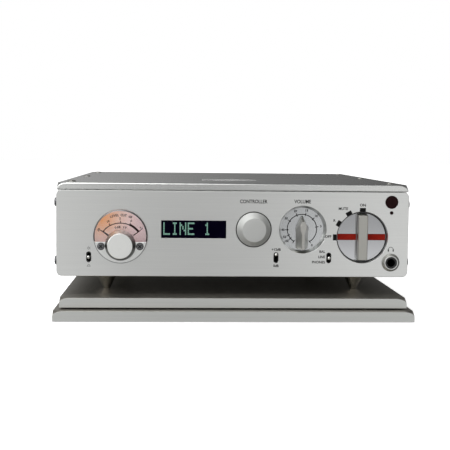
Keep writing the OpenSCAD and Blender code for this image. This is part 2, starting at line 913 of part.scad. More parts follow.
// Board behind the display and controller, and the small board behind the remote window
module control_board() {
    margin = 4;
    left = display_place[0] - display_w / 2 - module_margin;
    right = control_place[0] + encoder_half + margin;
    tall = max(display_h / 2 + module_margin, encoder_half) + margin;
    sensor_w = 10;
    sensor_top = remote_place[1] + remote_r;
    sensor_low = led_place[1] - remote_r;
    color("darkgreen") {
        on_panel([0, display_z])
            block([left, -tall, -board_setback - pcb_t], [right, tall, -board_setback]);
        on_panel([remote_place[0], 0]) {
            block([-sensor_w / 2, sensor_low, sensor_board_z - pcb_t],
                [sensor_w / 2, sensor_top, sensor_board_z]);
            block([-3, remote_place[1] - 3, sensor_board_z], [3, remote_place[1] + 3, -panel_t]);
        }
    }
}

// Turned knob: a truncated cone with a faintly dished face
module controller_knob() {
    rim = 0.5;
    dish = 0.3;
    color("silver") on_panel(control_place) difference() {
        rotate_extrude() polygon([
            [0, -knob_sink], [control_r, -knob_sink], [control_r, 1], [control_face_r + rim, control_h - rim],
            [control_face_r, control_h], [control_face_r - rim, control_h - dish], [0, control_h - dish]
        ]);
        rod(shaft_r + run_clear, -knob_sink - cut, knob_bore);
    }
}

module controller_shaft() {
    color("gainsboro") on_panel(control_place)
        rod(shaft_r, sleeve_top - sleeve_l - 1, knob_bore);
}

// Sleeve that carries the turning shaft and slides in the encoder's bush
module controller_sleeve() {
    color("goldenrod") on_panel(control_place)
        tube(sleeve_r, shaft_r + run_clear, sleeve_top - sleeve_l, sleeve_top);
}

module encoder_body() {
    color("dimgray") on_panel(control_place) difference() {
        union() {
            block([-encoder_half, -encoder_half, -board_setback], [encoder_half, encoder_half, -panel_t]);
            rod(bush_r, -panel_t - cut, sleeve_top + 0.2);
        }
        rod(sleeve_r + run_clear, encoder_bore_end, cut);
    }
}

// Disc with the volume scale; it seats behind the panel's conical opening
module volume_dial() {
    color("gainsboro") on_panel(volume_place)
        tube(volume_dial_r, bush_r + seat_clear, volume_back, -panel_t);
}

// Pointer knob: a ridged tail and a flat-topped head, both with sloping flanks
module volume_knob() {
    shoulder = 2.8;
    head_end = pointer_up - 5.7;
    waist = -3.4;
    tail_r = 2;
    top = volume_knob_z + pointer_h;
    color("silver") on_panel(volume_place) difference() {
        union() {
            hull() {
                for (s = [-1, 1]) {
                    translate([s * (pointer_w / 2 - tail_r), tail_r - pointer_down, volume_knob_z])
                        cylinder(r = tail_r, h = skin, $fn = hull_fn);
                    translate([s * (pointer_w / 2 - tail_r), shoulder - tail_r, volume_knob_z])
                        cylinder(r = tail_r, h = skin, $fn = hull_fn);
                }
                translate([0, ridge_w / 2 - pointer_down + 0.3, top - skin])
                    cylinder(d = ridge_w, h = skin, $fn = hull_fn);
                translate([0, waist, top - skin]) cylinder(d = ridge_w, h = skin, $fn = hull_fn);
            }
            hull() {
                translate([0, 0, volume_knob_z]) cylinder(d = pointer_w, h = skin, $fn = hull_fn);
                translate([0, pointer_up - 0.8, volume_knob_z]) cylinder(r = 0.8, h = skin, $fn = hull_fn);
                translate([0, head_end, top - skin]) cylinder(d = 0.65 * head_w, h = skin, $fn = hull_fn);
                translate([0, shoulder, top - skin]) cylinder(d = head_w, h = skin, $fn = hull_fn);
                translate([0, 0, top - skin]) cylinder(d = 0.92 * head_w, h = skin, $fn = hull_fn);
                translate([0, waist, top - skin]) cylinder(d = ridge_w, h = skin, $fn = hull_fn);
            }
        }
        rod(shaft_r + run_clear, volume_knob_z - cut, volume_knob_z + knob_bore);
    }
}

module volume_shaft() {
    color("gainsboro") on_panel(volume_place) rod(shaft_r, -shaft_in, volume_knob_z + knob_bore);
}

// Motor-driven potentiometer with its threaded bush
module volume_pot() {
    color("dimgray") on_panel(volume_place) difference() {
        union() {
            rod(bush_r, volume_back - cut, -panel_t - bush_sink);
            rod(pot_r, volume_back - pot_l, volume_back);
            rod(motor_r, volume_back - pot_l - motor_l, volume_back - pot_l + cut);
        }
        rod(shaft_r + run_clear, -shaft_in - 1, cut);
    }
}

// Round selector, sunk in the panel, with a grip across it whose foot blends into the disc
module selector_knob() {
    z1 = selector_z1;
    z2 = z1 + grip_h;
    half = grip_w / 2;
    edge = 0.5;
    foot_steps = 4;
    foot = [for (i = [0:foot_steps])
        [grip_foot * (1 - sin(90 * i / foot_steps)), grip_foot * (1 - cos(90 * i / foot_steps))]];
    right = [for (p = foot) [half + p[0], z1 + p[1]]];
    left = [for (i = [foot_steps:-1:0]) [-half - foot[i][0], z1 + foot[i][1]]];
    profile = concat([[half + grip_foot, z1 - selector_t / 2]], right,
        [[half, z2 - edge], [half - edge, z2], [edge - half, z2], [-half, z2 - edge]],
        left, [[-half - grip_foot, z1 - selector_t / 2]]);
    color("silver") on_panel(selector_place) difference() {
        union() {
            rotate_extrude() polygon([
                [0, selector_z0], [selector_disc_r, selector_z0], [selector_disc_r, z1 - selector_bevel],
                [selector_disc_r - selector_bevel, z1], [0, z1]
            ]);
            intersection() {
                rotate([90, 0, 0]) translate([0, 0, -selector_r])
                    linear_extrude(2 * selector_r) polygon(profile);
                rotate_extrude() polygon([
                    [0, selector_z0], [selector_disc_r - selector_bevel, selector_z0],
                    [selector_disc_r - selector_bevel - grip_lean, z2 + cut], [0, z2 + cut]
                ]);
            }
        }
        selector_stripe_space(seat_clear, selector_disc_r + seat_clear);
        rod(shaft_r + run_clear, selector_z0 - cut, selector_z0 + selector_bore);
    }
}

// The two shallow lengths beside the grip that hold the red stripe
module selector_stripe_space(room, reach) {
    inner = grip_w / 2 + grip_foot;
    for (s = [-1, 1]) {
        intersection() {
            translate([s * (inner + selector_r) / 2, 0, selector_z1 - stripe_t / 2 + room / 2])
                cube([selector_r - inner + 2 * room, stripe_w + 2 * room, stripe_t + room], center = true);
            rod(reach, selector_z1 - 2 * stripe_t, selector_z1 + room + cut);
        }
    }
}

module selector_stripe() {
    color("firebrick") on_panel(selector_place)
        selector_stripe_space(0, selector_disc_r - selector_bevel);
}

module selector_shaft() {
    color("gainsboro") on_panel(selector_place) rod(shaft_r, -shaft_in, selector_z0 + selector_bore);
}

// Rotary switch with the flange that closes the panel's opening from behind
module rotary_switch() {
    color("dimgray") on_panel(selector_place) difference() {
        union() {
            rod(switch_flange_r, switch_back, -panel_t);
            rod(switch_r, switch_back - switch_l, switch_back + cut);
        }
        rod(shaft_r + run_clear, -shaft_in - 1, cut);
    }
}

// Lever with a round tip, a pivot ball and a cross pin; tilt is up from straight out
module lever(place, tilt) {
    color("gainsboro") on_panel(place) translate([0, 0, -lever_setback]) rotate([-tilt, 0, 0]) {
        sphere(r = lever_ball_r);
        rod(lever_rod_r, 0, lever_len);
        translate([0, 0, lever_len]) sphere(r = lever_tip_r);
        rotate([0, 90, 0]) rod(lever_pin_r, -lever_pin_half, lever_pin_half);
    }
}

module lamp_lever() {
    lever(lever_places[0], 0);
}

module gain_lever() {
    lever(lever_places[1], lever_tilt);
}

module output_lever() {
    lever(lever_places[2], 0);
}

module slot_liners() {
    color("black") at_levers() translate([0, 0, -panel_t]) linear_extrude(panel_t - seat_clear) difference() {
        round_slot(slot_w + 2 * liner_t, slot_l + 2 * liner_t);
        round_slot(slot_w, slot_l);
    }
}

// Small switches behind the levers, open to the front
module toggle_bodies() {
    color("dimgray") at_levers() difference() {
        block([-toggle_half_w, -toggle_half_h, toggle_back], [toggle_half_w, toggle_half_h, -panel_t]);
        block([-cavity_half_w, -cavity_half_h, -lever_setback - cavity_d], [cavity_half_w, cavity_half_h, 0]);
        translate([0, 0, -lever_setback]) rotate([0, 90, 0])
            rod(lever_pin_r + run_clear, -lever_pin_half - 0.2, lever_pin_half + 0.2);
    }
}

module remote_window() {
    color("black") on_panel(remote_place) rod(remote_r, -panel_t, 0);
}

module status_led() {
    color("darkred") on_panel(led_place) {
        rod(led_r, sensor_board_z, 0);
        intersection() {
            sphere(r = led_r);
            rod(led_r, -cut, led_r);
        }
    }
}

module headphone_jack() {
    color("black") on_panel(jack_place) difference() {
        union() {
            rod(jack_body_r, -panel_t - jack_body_l, -panel_t);
            rod(jack_neck_r, -panel_t - cut, jack_neck_h);
        }
        rod(jack_bore_r, jack_neck_h - jack_bore_l, jack_neck_h + cut);
    }
}

// Conical ring round the headphone socket
module jack_nut() {
    foot = 0.5;
    color("silver") on_panel(jack_place) difference() {
        rotate_extrude() polygon([
            [0, 0], [jack_nut_r, 0], [jack_nut_r, foot], [jack_face_r, jack_nut_h], [0, jack_nut_h]
        ]);
        rod(jack_neck_r + seat_clear, -cut, jack_nut_h + cut);
    }
}

module at_phonos() {
    for (x = phono_xs, z = phono_zs) {
        on_rear([x, z]) children();
    }
}

module phono_sockets() {
    color("gold") at_phonos() difference() {
        union() {
            rod(phono_r, 0, phono_l);
            rod(phono_flange_r, 0, phono_flange_t);
            rod(phono_thread_r, -rear_t - phono_thread_l, cut);
        }
        rod(phono_r - phono_wall, phono_flange_t, phono_l + cut);
    }
}

module phono_cores() {
    color("white") at_phonos()
        tube(phono_r - phono_wall - seat_clear, phono_contact_r, phono_flange_t, phono_l - 0.5);
}

module balanced_flange() {
    corner_r = 3;
    linear_extrude(balanced_t) rounded_rect(balanced_w, balanced_h, corner_r);
    rod(balanced_body_r, -balanced_body_l, cut);
}

module at_contacts() {
    for (turn = [90, 210, 330]) {
        rotate([0, 0, turn]) translate([contact_circle_r, 0, 0]) children();
    }
}

module balanced_inputs() {
    color("black") for (x = input_xs) {
        on_rear([x, balanced_z]) difference() {
            balanced_flange();
            tube(balanced_mouth_r, balanced_mouth_r - 1, balanced_t - 1.2, balanced_t + cut);
            at_contacts() rod(contact_r + 0.1, -balanced_mouth_d, balanced_t + cut);
        }
    }
}

module balanced_outputs() {
    color("black") for (x = output_xs) {
        on_rear([x, balanced_z]) {
            difference() {
                balanced_flange();
                rod(balanced_mouth_r, balanced_t - balanced_mouth_d, balanced_t + cut);
            }
            at_contacts() rod(contact_r, balanced_t - balanced_mouth_d - cut, balanced_t - pin_setback);
        }
    }
}

// Mouth of the mains inlet: a rectangle with its two lower corners cut off
module inlet_outline(w, h) {
    polygon([
        [-w / 2, h / 2], [w / 2, h / 2], [w / 2, inlet_corner - h / 2], [w / 2 - inlet_corner, -h / 2],
        [inlet_corner - w / 2, -h / 2], [-w / 2, inlet_corner - h / 2]
    ]);
}

module mains_inlet() {
    corner_r = 3;
    color("black") on_rear(inlet_place) difference() {
        union() {
            linear_extrude(inlet_flange_t) rounded_rect(inlet_w, inlet_h, corner_r);
            translate([0, 0, -inlet_body_l]) linear_extrude(inlet_body_l + cut)
                square([inlet_body_w, inlet_body_h], center = true);
        }
        translate([0, 0, inlet_flange_t - inlet_mouth_d]) linear_extrude(inlet_mouth_d + cut)
            inlet_outline(inlet_mouth_w, inlet_mouth_h);
    }
}

// Three flat blades, the earth one above the other two
module inlet_pins() {
    z0 = inlet_flange_t - inlet_mouth_d;
    z1 = inlet_flange_t - pin_setback;
    color("silver") on_rear(inlet_place) for (place = [[-blade_gap, -2], [blade_gap, -2], [0, 2]]) {
        translate([place[0] - blade_w / 2, place[1] - blade_h / 2, z0]) cube([blade_w, blade_h, z1 - z0]);
    }
}

// Binding post with a knurled nut
module ground_post() {
    nut_r = 5;
    nut_h = 7;
    stud_in = 6;
    stud_out = 3;
    flutes = 16;
    color("gold") on_rear(ground_place) difference() {
        union() {
            rod(screw_r, -rear_t - stud_in, nut_h + stud_out);
            rod(nut_r, 0, nut_h);
        }
        for (i = [1:flutes]) {
            rotate([0, 0, 360 * i / flutes]) translate([nut_r, 0, 1]) cylinder(r = 0.5, h = nut_h, $fn = 16);
        }
    }
}

module main_board() {
    color("darkgreen")
        block([-main_board_hw, main_board_y0, z_board], [main_board_hw, main_board_y1, z_board + pcb_t]);
}

module board_standoffs() {
    middle = (main_board_y0 + main_board_y1) / 2;
    rows = [main_board_y0 + standoff_in, middle, main_board_y1 - standoff_in];
    color("gainsboro") for (sx = [-1, 1], y = rows) {
        translate([sx * (main_board_hw - standoff_in), y, 0]) rod(standoff_r, z_floor, z_board);
    }
}

// Toroidal transformer under a round cap with its bolt
module transformer() {
    bead = 6;
    color("peru") translate([toroid_place[0], toroid_place[1], z_floor]) {
        rotate_extrude() translate([toroid_hole_r, 0]) {
            translate([0, bead]) square([toroid_r - toroid_hole_r, toroid_h - 2 * bead]);
            translate([bead, 0]) square([toroid_r - toroid_hole_r - 2 * bead, toroid_h]);
            for (x = [bead, toroid_r - toroid_hole_r - bead], y = [bead, toroid_h - bead]) {
                translate([x, y]) circle(r = bead);
            }
        }
        rod(toroid_hole_r + bead, toroid_h, toroid_h + toroid_cap_t);
        rod(toroid_bolt_r, 0, toroid_h + toroid_cap_t + toroid_bolt_over);
    }
}

module capacitors() {
    color("navy") for (place = capacitor_places) {
        translate([place[0], place[1], z_board + pcb_t]) rotate_extrude() polygon([
            [0, 0], [capacitor_r, 0], [capacitor_r, capacitor_h - 1],
            [capacitor_r - 1, capacitor_h], [0, capacitor_h]
        ]);
    }
}

// Upright bracket on the bottom plate, with the valve sockets on its front
module valve_bracket() {
    color("silver") {
        block([bracket_x0, bracket_y, z_floor], [bracket_x1, bracket_y + bracket_t, z_floor + bracket_h]);
        block([bracket_x0, bracket_y, z_floor], [bracket_x1, bracket_y + bracket_foot, z_floor + bracket_t]);
        for (x = valve_xs) {
            translate([x, bracket_y, valve_z]) rotate([90, 0, 0]) rod(socket_r, -cut, socket_t);
        }
    }
}

// Valves lying forward from their sockets, under the vents
module valves() {
    nipple_r = 1.5;
    nipple_h = 3;
    straight = valve_l - valve_r;
    color("lightgray", 0.6) for (x = valve_xs) {
        translate([x, bracket_y - socket_t, valve_z]) rotate([90, 0, 0]) {
            rod(valve_r, 0, straight);
            translate([0, 0, straight]) sphere(r = valve_r);
            rod(nipple_r, straight, valve_l + nipple_h);
        }
    }
}

lower_plate();
upper_plate();
isolation_pucks();
base_pads();
cone_feet();
bottom_plate();
left_side();
right_side();
front_panel();
rear_panel();
lid();
lid_screws();
side_screws();
rear_screws();
meter_housing();
meter_dial();
meter_movement();
front_needle();
rear_needle();
meter_lens();
meter_mask();
meter_boss();
meter_screws();
display_window();
display_module();
control_board();
controller_knob();
controller_shaft();
controller_sleeve();
encoder_body();
volume_dial();
volume_knob();
volume_shaft();
volume_pot();
selector_knob();
selector_stripe();
selector_shaft();
rotary_switch();
lamp_lever();
gain_lever();
output_lever();
slot_liners();
toggle_bodies();
remote_window();
status_led();
headphone_jack();
jack_nut();
phono_sockets();
phono_cores();
balanced_inputs();
balanced_outputs();
mains_inlet();
inlet_pins();
ground_post();
main_board();
board_standoffs();
transformer();
capacitors();
valve_bracket();
valves();
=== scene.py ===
# %% [markdown]
# # A stereo preamplifier on its isolation base
# The frame holds every solid of the preamplifier at its real size. This lesson gives those solids their
# looks: broken edges, brushed and turned metal, printed scales, a lit meter and a glowing display.
# Everything is in metres and stays where the frame puts it, with the front facing -Y. MM turns
# millimetres into metres, and a size on a piece that is written without it is still in millimetres.

# %% Load the frame
import math

import bpy
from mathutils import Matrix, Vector


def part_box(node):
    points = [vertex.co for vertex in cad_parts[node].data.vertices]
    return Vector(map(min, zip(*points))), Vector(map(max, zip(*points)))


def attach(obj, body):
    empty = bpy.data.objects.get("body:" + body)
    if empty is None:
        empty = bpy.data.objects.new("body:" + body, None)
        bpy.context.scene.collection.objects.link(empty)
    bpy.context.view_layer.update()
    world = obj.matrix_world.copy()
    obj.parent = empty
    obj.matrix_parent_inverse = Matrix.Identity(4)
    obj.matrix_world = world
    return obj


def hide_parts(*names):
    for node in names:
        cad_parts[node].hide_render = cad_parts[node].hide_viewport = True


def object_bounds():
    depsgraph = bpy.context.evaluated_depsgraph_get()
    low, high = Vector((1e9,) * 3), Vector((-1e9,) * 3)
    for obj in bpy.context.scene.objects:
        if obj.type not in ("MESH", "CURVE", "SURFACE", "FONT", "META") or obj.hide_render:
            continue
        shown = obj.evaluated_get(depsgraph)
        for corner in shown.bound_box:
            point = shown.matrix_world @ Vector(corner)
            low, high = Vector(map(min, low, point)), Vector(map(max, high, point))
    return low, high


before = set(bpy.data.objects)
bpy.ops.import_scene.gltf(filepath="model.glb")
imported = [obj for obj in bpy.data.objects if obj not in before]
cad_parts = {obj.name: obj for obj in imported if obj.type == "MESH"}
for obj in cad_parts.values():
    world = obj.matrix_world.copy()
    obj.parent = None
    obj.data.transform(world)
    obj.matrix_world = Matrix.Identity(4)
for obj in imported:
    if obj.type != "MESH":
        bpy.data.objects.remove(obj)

MM = 0.001
cad_low, cad_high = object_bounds()
print("frame box in mm:", [round(v / MM, 1) for v in (*cad_low, *cad_high)])

# %% [markdown]
# ## The camera
# The picture was taken from a little left of the middle and a little above the lid, with a short
# telephoto lens. The place and the angles were solved from the edges of the panel, the lid and the two
# plates.

# %% Place the camera
CAMERA_PLACE = (-0.04425, -0.92114, 0.13366)
CAMERA_TURN = (85.40713, -0.59317, -2.75990)
LENS_MM = 77.881
SENSOR_MM = 36
bpy.ops.object.select_all(action="DESELECT")
bpy.ops.object.camera_add(location=CAMERA_PLACE, rotation=[math.radians(a) for a in CAMERA_TURN])
camera = bpy.context.object
camera.data.lens = LENS_MM
camera.data.sensor_width = SENSOR_MM
camera.data.clip_start = 10 * MM
bpy.context.scene.camera = camera
print("camera at", CAMERA_PLACE)

# %% [markdown]
# ## Nodes and colours
# Each finish is a small node tree. One function adds a node with its settings and its inputs, where an
# input is a plain value or an output of an earlier node. Colours are written as they look on a screen,
# and one function turns them into the linear values that light needs. On most surfaces one pattern
# changes the tone, the gloss and the height together, as the grain of a real surface does.

# %% Helpers for materials


def linear(code):
    channels = [int(code[i:i + 2], 16) / 255 for i in (1, 3, 5)]
    return [c / 12.92 if c <= 0.04045 else ((c + 0.055) / 1.055) ** 2.4 for c in channels] + [1]


def add(tree, kind, inputs=None, **settings):
    """Adds a node, sets it up and links or fills its inputs."""
    made = tree.nodes.new("ShaderNode" + kind)
    for key, value in settings.items():
        setattr(made, key, value)
    for key, value in (inputs or {}).items():
        if isinstance(value, bpy.types.NodeSocket):
            tree.links.new(value, made.inputs[key])
        else:
            made.inputs[key].default_value = value
    return made


def bare_finish(name, surface):
    """A material with one principled shader, whose constants are set straight on its sockets."""
    made = bpy.data.materials.new(name)
    made.use_nodes = True
    shader = made.node_tree.nodes["Principled BSDF"]
    for key, value in surface.items():
        shader.inputs[key].default_value = value
    return made, made.node_tree, shader


# Noise seldom leaves this span, so the span is stretched to run from 0 to 1
NOISE_SPAN = {"From Min": 0.3, "From Max": 0.7}


def vary(tree, shader, pattern, tones, gloss, depth_mm):
    """Lets one pattern change the tone, the gloss and the height of a finish.
    Gloss is the least and the greatest roughness."""
    even = add(tree, "MapRange", {"Value": pattern, **NOISE_SPAN})
    tone = add(tree, "Mix", {0: even.outputs[0], 6: linear(tones[0]), 7: linear(tones[1])}, data_type="RGBA")
    sheen = add(tree, "MapRange", {"Value": even.outputs[0], "To Min": gloss[0], "To Max": gloss[1]})
    relief = add(tree, "Bump", {"Height": even.outputs[0], "Distance": depth_mm * MM})
    tree.links.new(tone.outputs[2], shader.inputs["Base Color"])
    tree.links.new(sheen.outputs[0], shader.inputs["Roughness"])
    tree.links.new(relief.outputs[0], shader.inputs["Normal"])


def grained(name, tones, grain_mm, gloss, depth_mm, surface):
    """A finish with a grain, whose size along X, Y and Z is grain_mm."""
    made, tree, shader = bare_finish(name, surface)
    places = add(tree, "TexCoord").outputs["Object"]
    scaled = add(tree, "Mapping", {"Vector": places, "Scale": [1 / (s * MM) for s in grain_mm]})
    grain = add(tree, "TexNoise", {"Vector": scaled.outputs[0], "Scale": 1.0, "Detail": 3.0})
    vary(tree, shader, grain.outputs[0], tones, gloss, depth_mm)
    return made


def reach_from(tree, x, z):
    """How far a point lies from a place on the front, seen straight on."""
    places = add(tree, "TexCoord").outputs["Object"]
    flat = add(tree, "Mapping", {"Vector": places, "Scale": (1, 0, 1), "Location": (-x, 0, -z)})
    return add(tree, "VectorMath", {0: flat.outputs[0]}, operation="LENGTH").outputs["Value"]


print("half grey on the screen is", round(linear("#808080")[0], 2), "of full light")

# %% [markdown]
# ## Aluminium in three finishes
# The front, the lid and the plates are brushed from side to side and anodised. The scratches are about a
# tenth of a millimetre wide, too fine to show from a step away, so they are drawn several times coarser.
# The flats of the base plates get painted shade, a little darker than their front and rear edges, and
# the way a face points tells them apart. The knobs are turned, so their scratches run in rings.

# %% Brushed aluminium
METAL = {"Metallic": 1.0}
STREAK_LENGTH = 70
BRUSH_DEPTH = 0.0003


def brushed_aluminium(name, tones, streak_mm, gloss):
    # Long fine streaks along X: the metal looks silky and its mirror image is drawn out
    return grained(name, tones, (STREAK_LENGTH, 3 * streak_mm, streak_mm), gloss, BRUSH_DEPTH, METAL)


def painted_flank_shade(made, code, upper=None):
    # Painted shade: bright where the face looks forward or back, darker on the flats and flanks between; a
    # flank that looks up can get a painted highlight, a lighter tone of its own
    tree = made.node_tree
    shader = tree.nodes["Principled BSDF"]
    bright = shader.inputs["Base Color"].links[0].from_socket
    facing = add(tree, "SeparateXYZ", {0: add(tree, "NewGeometry").outputs["Normal"]})
    forward = add(tree, "Math", {0: facing.outputs["Y"]}, operation="ABSOLUTE")
    edge = add(tree, "MapRange", {"Value": forward.outputs[0], "From Min": 0.6, "From Max": 0.9})
    flank = linear(code)
    if upper:
        raised = add(tree, "MapRange", {"Value": facing.outputs["Z"], "From Min": 0.3, "From Max": 0.9})
        painted_highlight_tone = add(tree, "Mix", {0: raised.outputs[0], 6: flank, 7: linear(upper)}, data_type="RGBA")
        flank = painted_highlight_tone.outputs[2]
    tone = add(tree, "Mix", {0: edge.outputs[0], 6: flank, 7: bright}, data_type="RGBA")
    tree.links.new(tone.outputs[2], shader.inputs["Base Color"])
    return made


panel_metal = brushed_aluminium("brushed_panel_aluminium", ("#d8d9d7", "#dcdddb"), 0.7, (0.295, 0.305))
lid_metal = brushed_aluminium("brushed_lid_aluminium", ("#d7d8d6", "#dcdddb"), 0.9, (0.25, 0.26))
base_metal = brushed_aluminium("brushed_base_aluminium", ("#c7c9c6", "#cdcecb"), 0.9, (0.38, 0.4))
# Painted shade: the plates' flats and side facets are darker than their front and rear faces
painted_flank_shade(base_metal, "#aca8a0")
print("brushed finishes:", [m.name for m in bpy.data.materials if m.name.startswith("brushed")])

# %% [markdown]
# The knobs' rings are noise along the distance from the middle. The selector is one piece of metal with
# two finishes, a polished disc and a satin grip. How far a point stands out of the disc tells which
# finish it gets.

# %% Turned aluminium
RING_STEP = 0.5
GRIP_ROUGHNESS = 0.36
# How far in front of the stripe the grip's finish starts, and where it is complete
GRIP_START = 0.3 * MM
GRIP_FULL = 0.6 * MM


def at_node(node):
    """Where the middle of a front piece lies, x across and z up."""
    low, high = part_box(node)
    return (low.x + high.x) / 2, (low.z + high.z) / 2


def turned_aluminium(node, tones=("#cdcecd", "#dedfdd"), gloss=(0.3, 0.36), depth_mm=0.001):
    # Rings about half a millimetre apart, as a lathe tool leaves them
    made, tree, shader = bare_finish("turned_aluminium_" + node, METAL)
    reach = reach_from(tree, *at_node(node))
    rings = add(tree, "TexNoise", {"W": reach, "Scale": 1 / (RING_STEP * MM), "Detail": 2.0},
                noise_dimensions="1D")
    vary(tree, shader, rings.outputs[0], tones, gloss, depth_mm)
    return made


def raised_grip(made, code):
    # The disc is polished; the grip that stands out of it is satin and a little warmer
    tree = made.node_tree
    shader = tree.nodes["Principled BSDF"]
    disc = {key: shader.inputs[key].links[0].from_socket for key in ("Base Color", "Roughness")}
    depth = add(tree, "SeparateXYZ", {0: add(tree, "TexCoord").outputs["Object"]})
    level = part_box("selector_stripe")[0].y
    grip = add(tree, "MapRange", {"Value": depth.outputs["Y"], "From Min": level - GRIP_START,
                                  "From Max": level - GRIP_FULL})
    tone = add(tree, "Mix", {0: grip.outputs[0], 6: disc["Base Color"], 7: linear(code)}, data_type="RGBA")
    sheen = add(tree, "Mix", {0: grip.outputs[0], 2: disc["Roughness"], 3: GRIP_ROUGHNESS},
                data_type="FLOAT")
    tree.links.new(tone.outputs[2], shader.inputs["Base Color"])
    tree.links.new(sheen.outputs[0], shader.inputs["Roughness"])
    return made


selector_disc = turned_aluminium("selector_shaft", ("#a5a6a8", "#a8a9ab"), (0.07, 0.08), 0.0)
selector_metal = raised_grip(selector_disc, "#b1b0aa")
print("turned finish:", selector_metal.name)

# %% [markdown]
# ## The other finishes
# Levers are bright nickel-plated steel, the feet a darker plate, the lid's screws satin nickel, and the
# other case screws black-oxide or blued steel. Moulded ABS, rubber, smoked acrylic, gold plate, enamel,
# ink and glass make up the rest. Each varies a little in colour and gloss over a few millimetres,
# because no real surface is one flat tone. A line gives the two tones, the grain along X, Y and Z in mm,
# the least and the greatest roughness, and the height of the grain in mm.

# %% Steel, plastics, paint and glass
PLASTIC = {"IOR": 1.5}
# Paint, print and dark windows seen straight on hardly mirror anything
COATED = {"IOR": 1.5, "Specular IOR Level": 0.02}
# Plated and ground metals: mirror-like or satin, faintly cloudy
nickel = grained("nickel_plated_steel", ("#cfcfcc", "#e2e2df"), (2, 2, 2), (0.14, 0.22), 0.002, METAL)
satin_nickel = grained("satin_nickel", ("#94938e", "#a3a29d"), (1, 1, 1), (0.42, 0.5), 0.002, METAL)
dark_nickel = grained("dark_nickel_plate", ("#c8c5bd", "#d6d3cb"), (1, 1, 1), (0.2, 0.26), 0.001, METAL)
blued_steel = grained("blued_steel", ("#626365", "#78797a"), (1, 1, 1), (0.35, 0.45), 0.003, METAL)
black_oxide = grained("black_oxide_steel", ("#1c1c1d", "#2d2d2e"), (1, 1, 1), (0.32, 0.44), 0.004, METAL)
ground_steel = grained("ground_steel", ("#9b9c9d", "#b6b7b8"), (0.5, 8, 0.5), (0.24, 0.34), 0.003, METAL)
brass = grained("turned_brass", ("#a98441", "#c39c55"), (0.5, 8, 0.5), (0.24, 0.34), 0.003, METAL)
gold = grained("gold_plate", ("#c9a045", "#ddb961"), (2, 2, 2), (0.16, 0.24), 0.002, METAL)
# Moulded, cast and wound: satin or matt with a fine pebble, and the acrylic windows smooth and nearly black
black_abs = grained("moulded_black_abs", ("#0b0b0c", "#161617"), (0.8, 0.8, 0.8), (0.4, 0.52), 0.008,
                    PLASTIC)
rubber = grained("moulded_rubber", ("#101010", "#1c1c1c"), (1.5, 1.5, 1.5), (0.7, 0.85), 0.04, PLASTIC)
smoked_acrylic = grained("smoked_acrylic", ("#02010a", "#04020e"), (8, 8, 8), (0.06, 0.1), 0.0, COATED)
red_acrylic = grained("dark_red_acrylic", ("#170b0c", "#1f1011"), (4, 4, 4), (0.1, 0.16), 0.001, COATED)
white_nylon = grained("white_nylon", ("#d8d6cf", "#e8e6df"), (1.5, 1.5, 1.5), (0.45, 0.55), 0.006, PLASTIC)
solder_mask = grained("solder_mask", ("#0c3a20", "#125433"), (4, 4, 4), (0.3, 0.4), 0.01, PLASTIC)
grey_enamel = grained("grey_enamel", ("#3a3c3e", "#4b4d4f"), (1.5, 1.5, 1.5), (0.36, 0.46), 0.01, PLASTIC)
wound_tape = grained("wound_polyester_tape", ("#6d3a16", "#8d5324"), (4, 4, 12), (0.3, 0.45), 0.06, PLASTIC)
blue_sleeve = grained("shrunk_pvc_sleeve", ("#0d1430", "#1a254e"), (5, 5, 5), (0.25, 0.35), 0.01, PLASTIC)
# Paint and print: even, slightly grainy, no mirror image
red_enamel = grained("red_enamel", ("#70160e", "#7d1b13"), (1.2, 1.2, 1.2), (0.42, 0.5), 0.004, COATED)
ink = grained("black_screen_ink", ("#0c0c0c", "#171717"), (0.5, 0.5, 0.5), (0.5, 0.6), 0.003, COATED)
dial_ink = grained("brown_dial_ink", ("#240c0c", "#331211"), (0.5, 0.5, 0.5), (0.5, 0.6), 0.003, COATED)


def clear_finish(name, tones, ior):
    # See-through and polished, with a faint haze that varies over a centimetre
    return grained(name, tones, (10, 10, 10), (0.0, 0.03), 0.0, {"IOR": ior, "Transmission Weight": 1.0})


lens_acrylic = clear_finish("clear_acrylic", ("#fbfbfb", "#ffffff"), 1.49)
valve_glass = clear_finish("blown_glass", ("#e6eded", "#f4f8f8"), 1.5)
print("materials:", len(bpy.data.materials))

# %% [markdown]
# ## Working on the pieces
# The pieces on the front are modelled lying flat at the world's middle, with Z pointing out of the panel
# and Y pointing up it. A last step stands them up and moves them to their place on the panel. An
# operator acts on all that is selected, so each step first selects its one piece.

# %% Helpers for places
panel_low, panel_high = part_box("front_panel")
FACE_Y = panel_low.y
CASE_Z = panel_low.z


def on_panel(node):
    """Where the middle of a front piece lies in mm, x from the panel's middle and z above its lower edge."""
    x, z = at_node(node)
    return x / MM, (z - CASE_Z) / MM


def stack(node):
    """Half the width of a front piece, and how far its foot and its top stand out of the panel, in mm."""
    low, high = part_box(node)
    return (high.x - low.x) / 2 / MM, (FACE_Y - high.y) / MM, (FACE_Y - low.y) / MM


def only(piece):
    bpy.ops.object.select_all(action="DESELECT")
    piece.select_set(True)
    bpy.context.view_layer.objects.active = piece


def settle(piece):
    only(piece)
    bpy.ops.object.transform_apply(location=True, rotation=True, scale=True)
    return piece


def stand_up(piece, place, out_mm=0.0):
    """Turns a piece from lying flat to facing the front, at a place on the panel."""
    settle(piece)
    piece.rotation_euler = (math.radians(90), 0, 0)
    piece.location = (place[0], FACE_Y - out_mm * MM, place[1])
    return settle(piece)


def modify(piece, kind, **settings):
    only(piece)
    made = piece.modifiers.new(kind.lower(), kind)
    for key, value in settings.items():
        setattr(made, key, value)
    bpy.ops.object.modifier_apply(modifier=made.name)
    return piece


print("panel face at y", round(FACE_Y / MM, 2), "mm, its lower edge at z", round(CASE_Z / MM, 2), "mm")
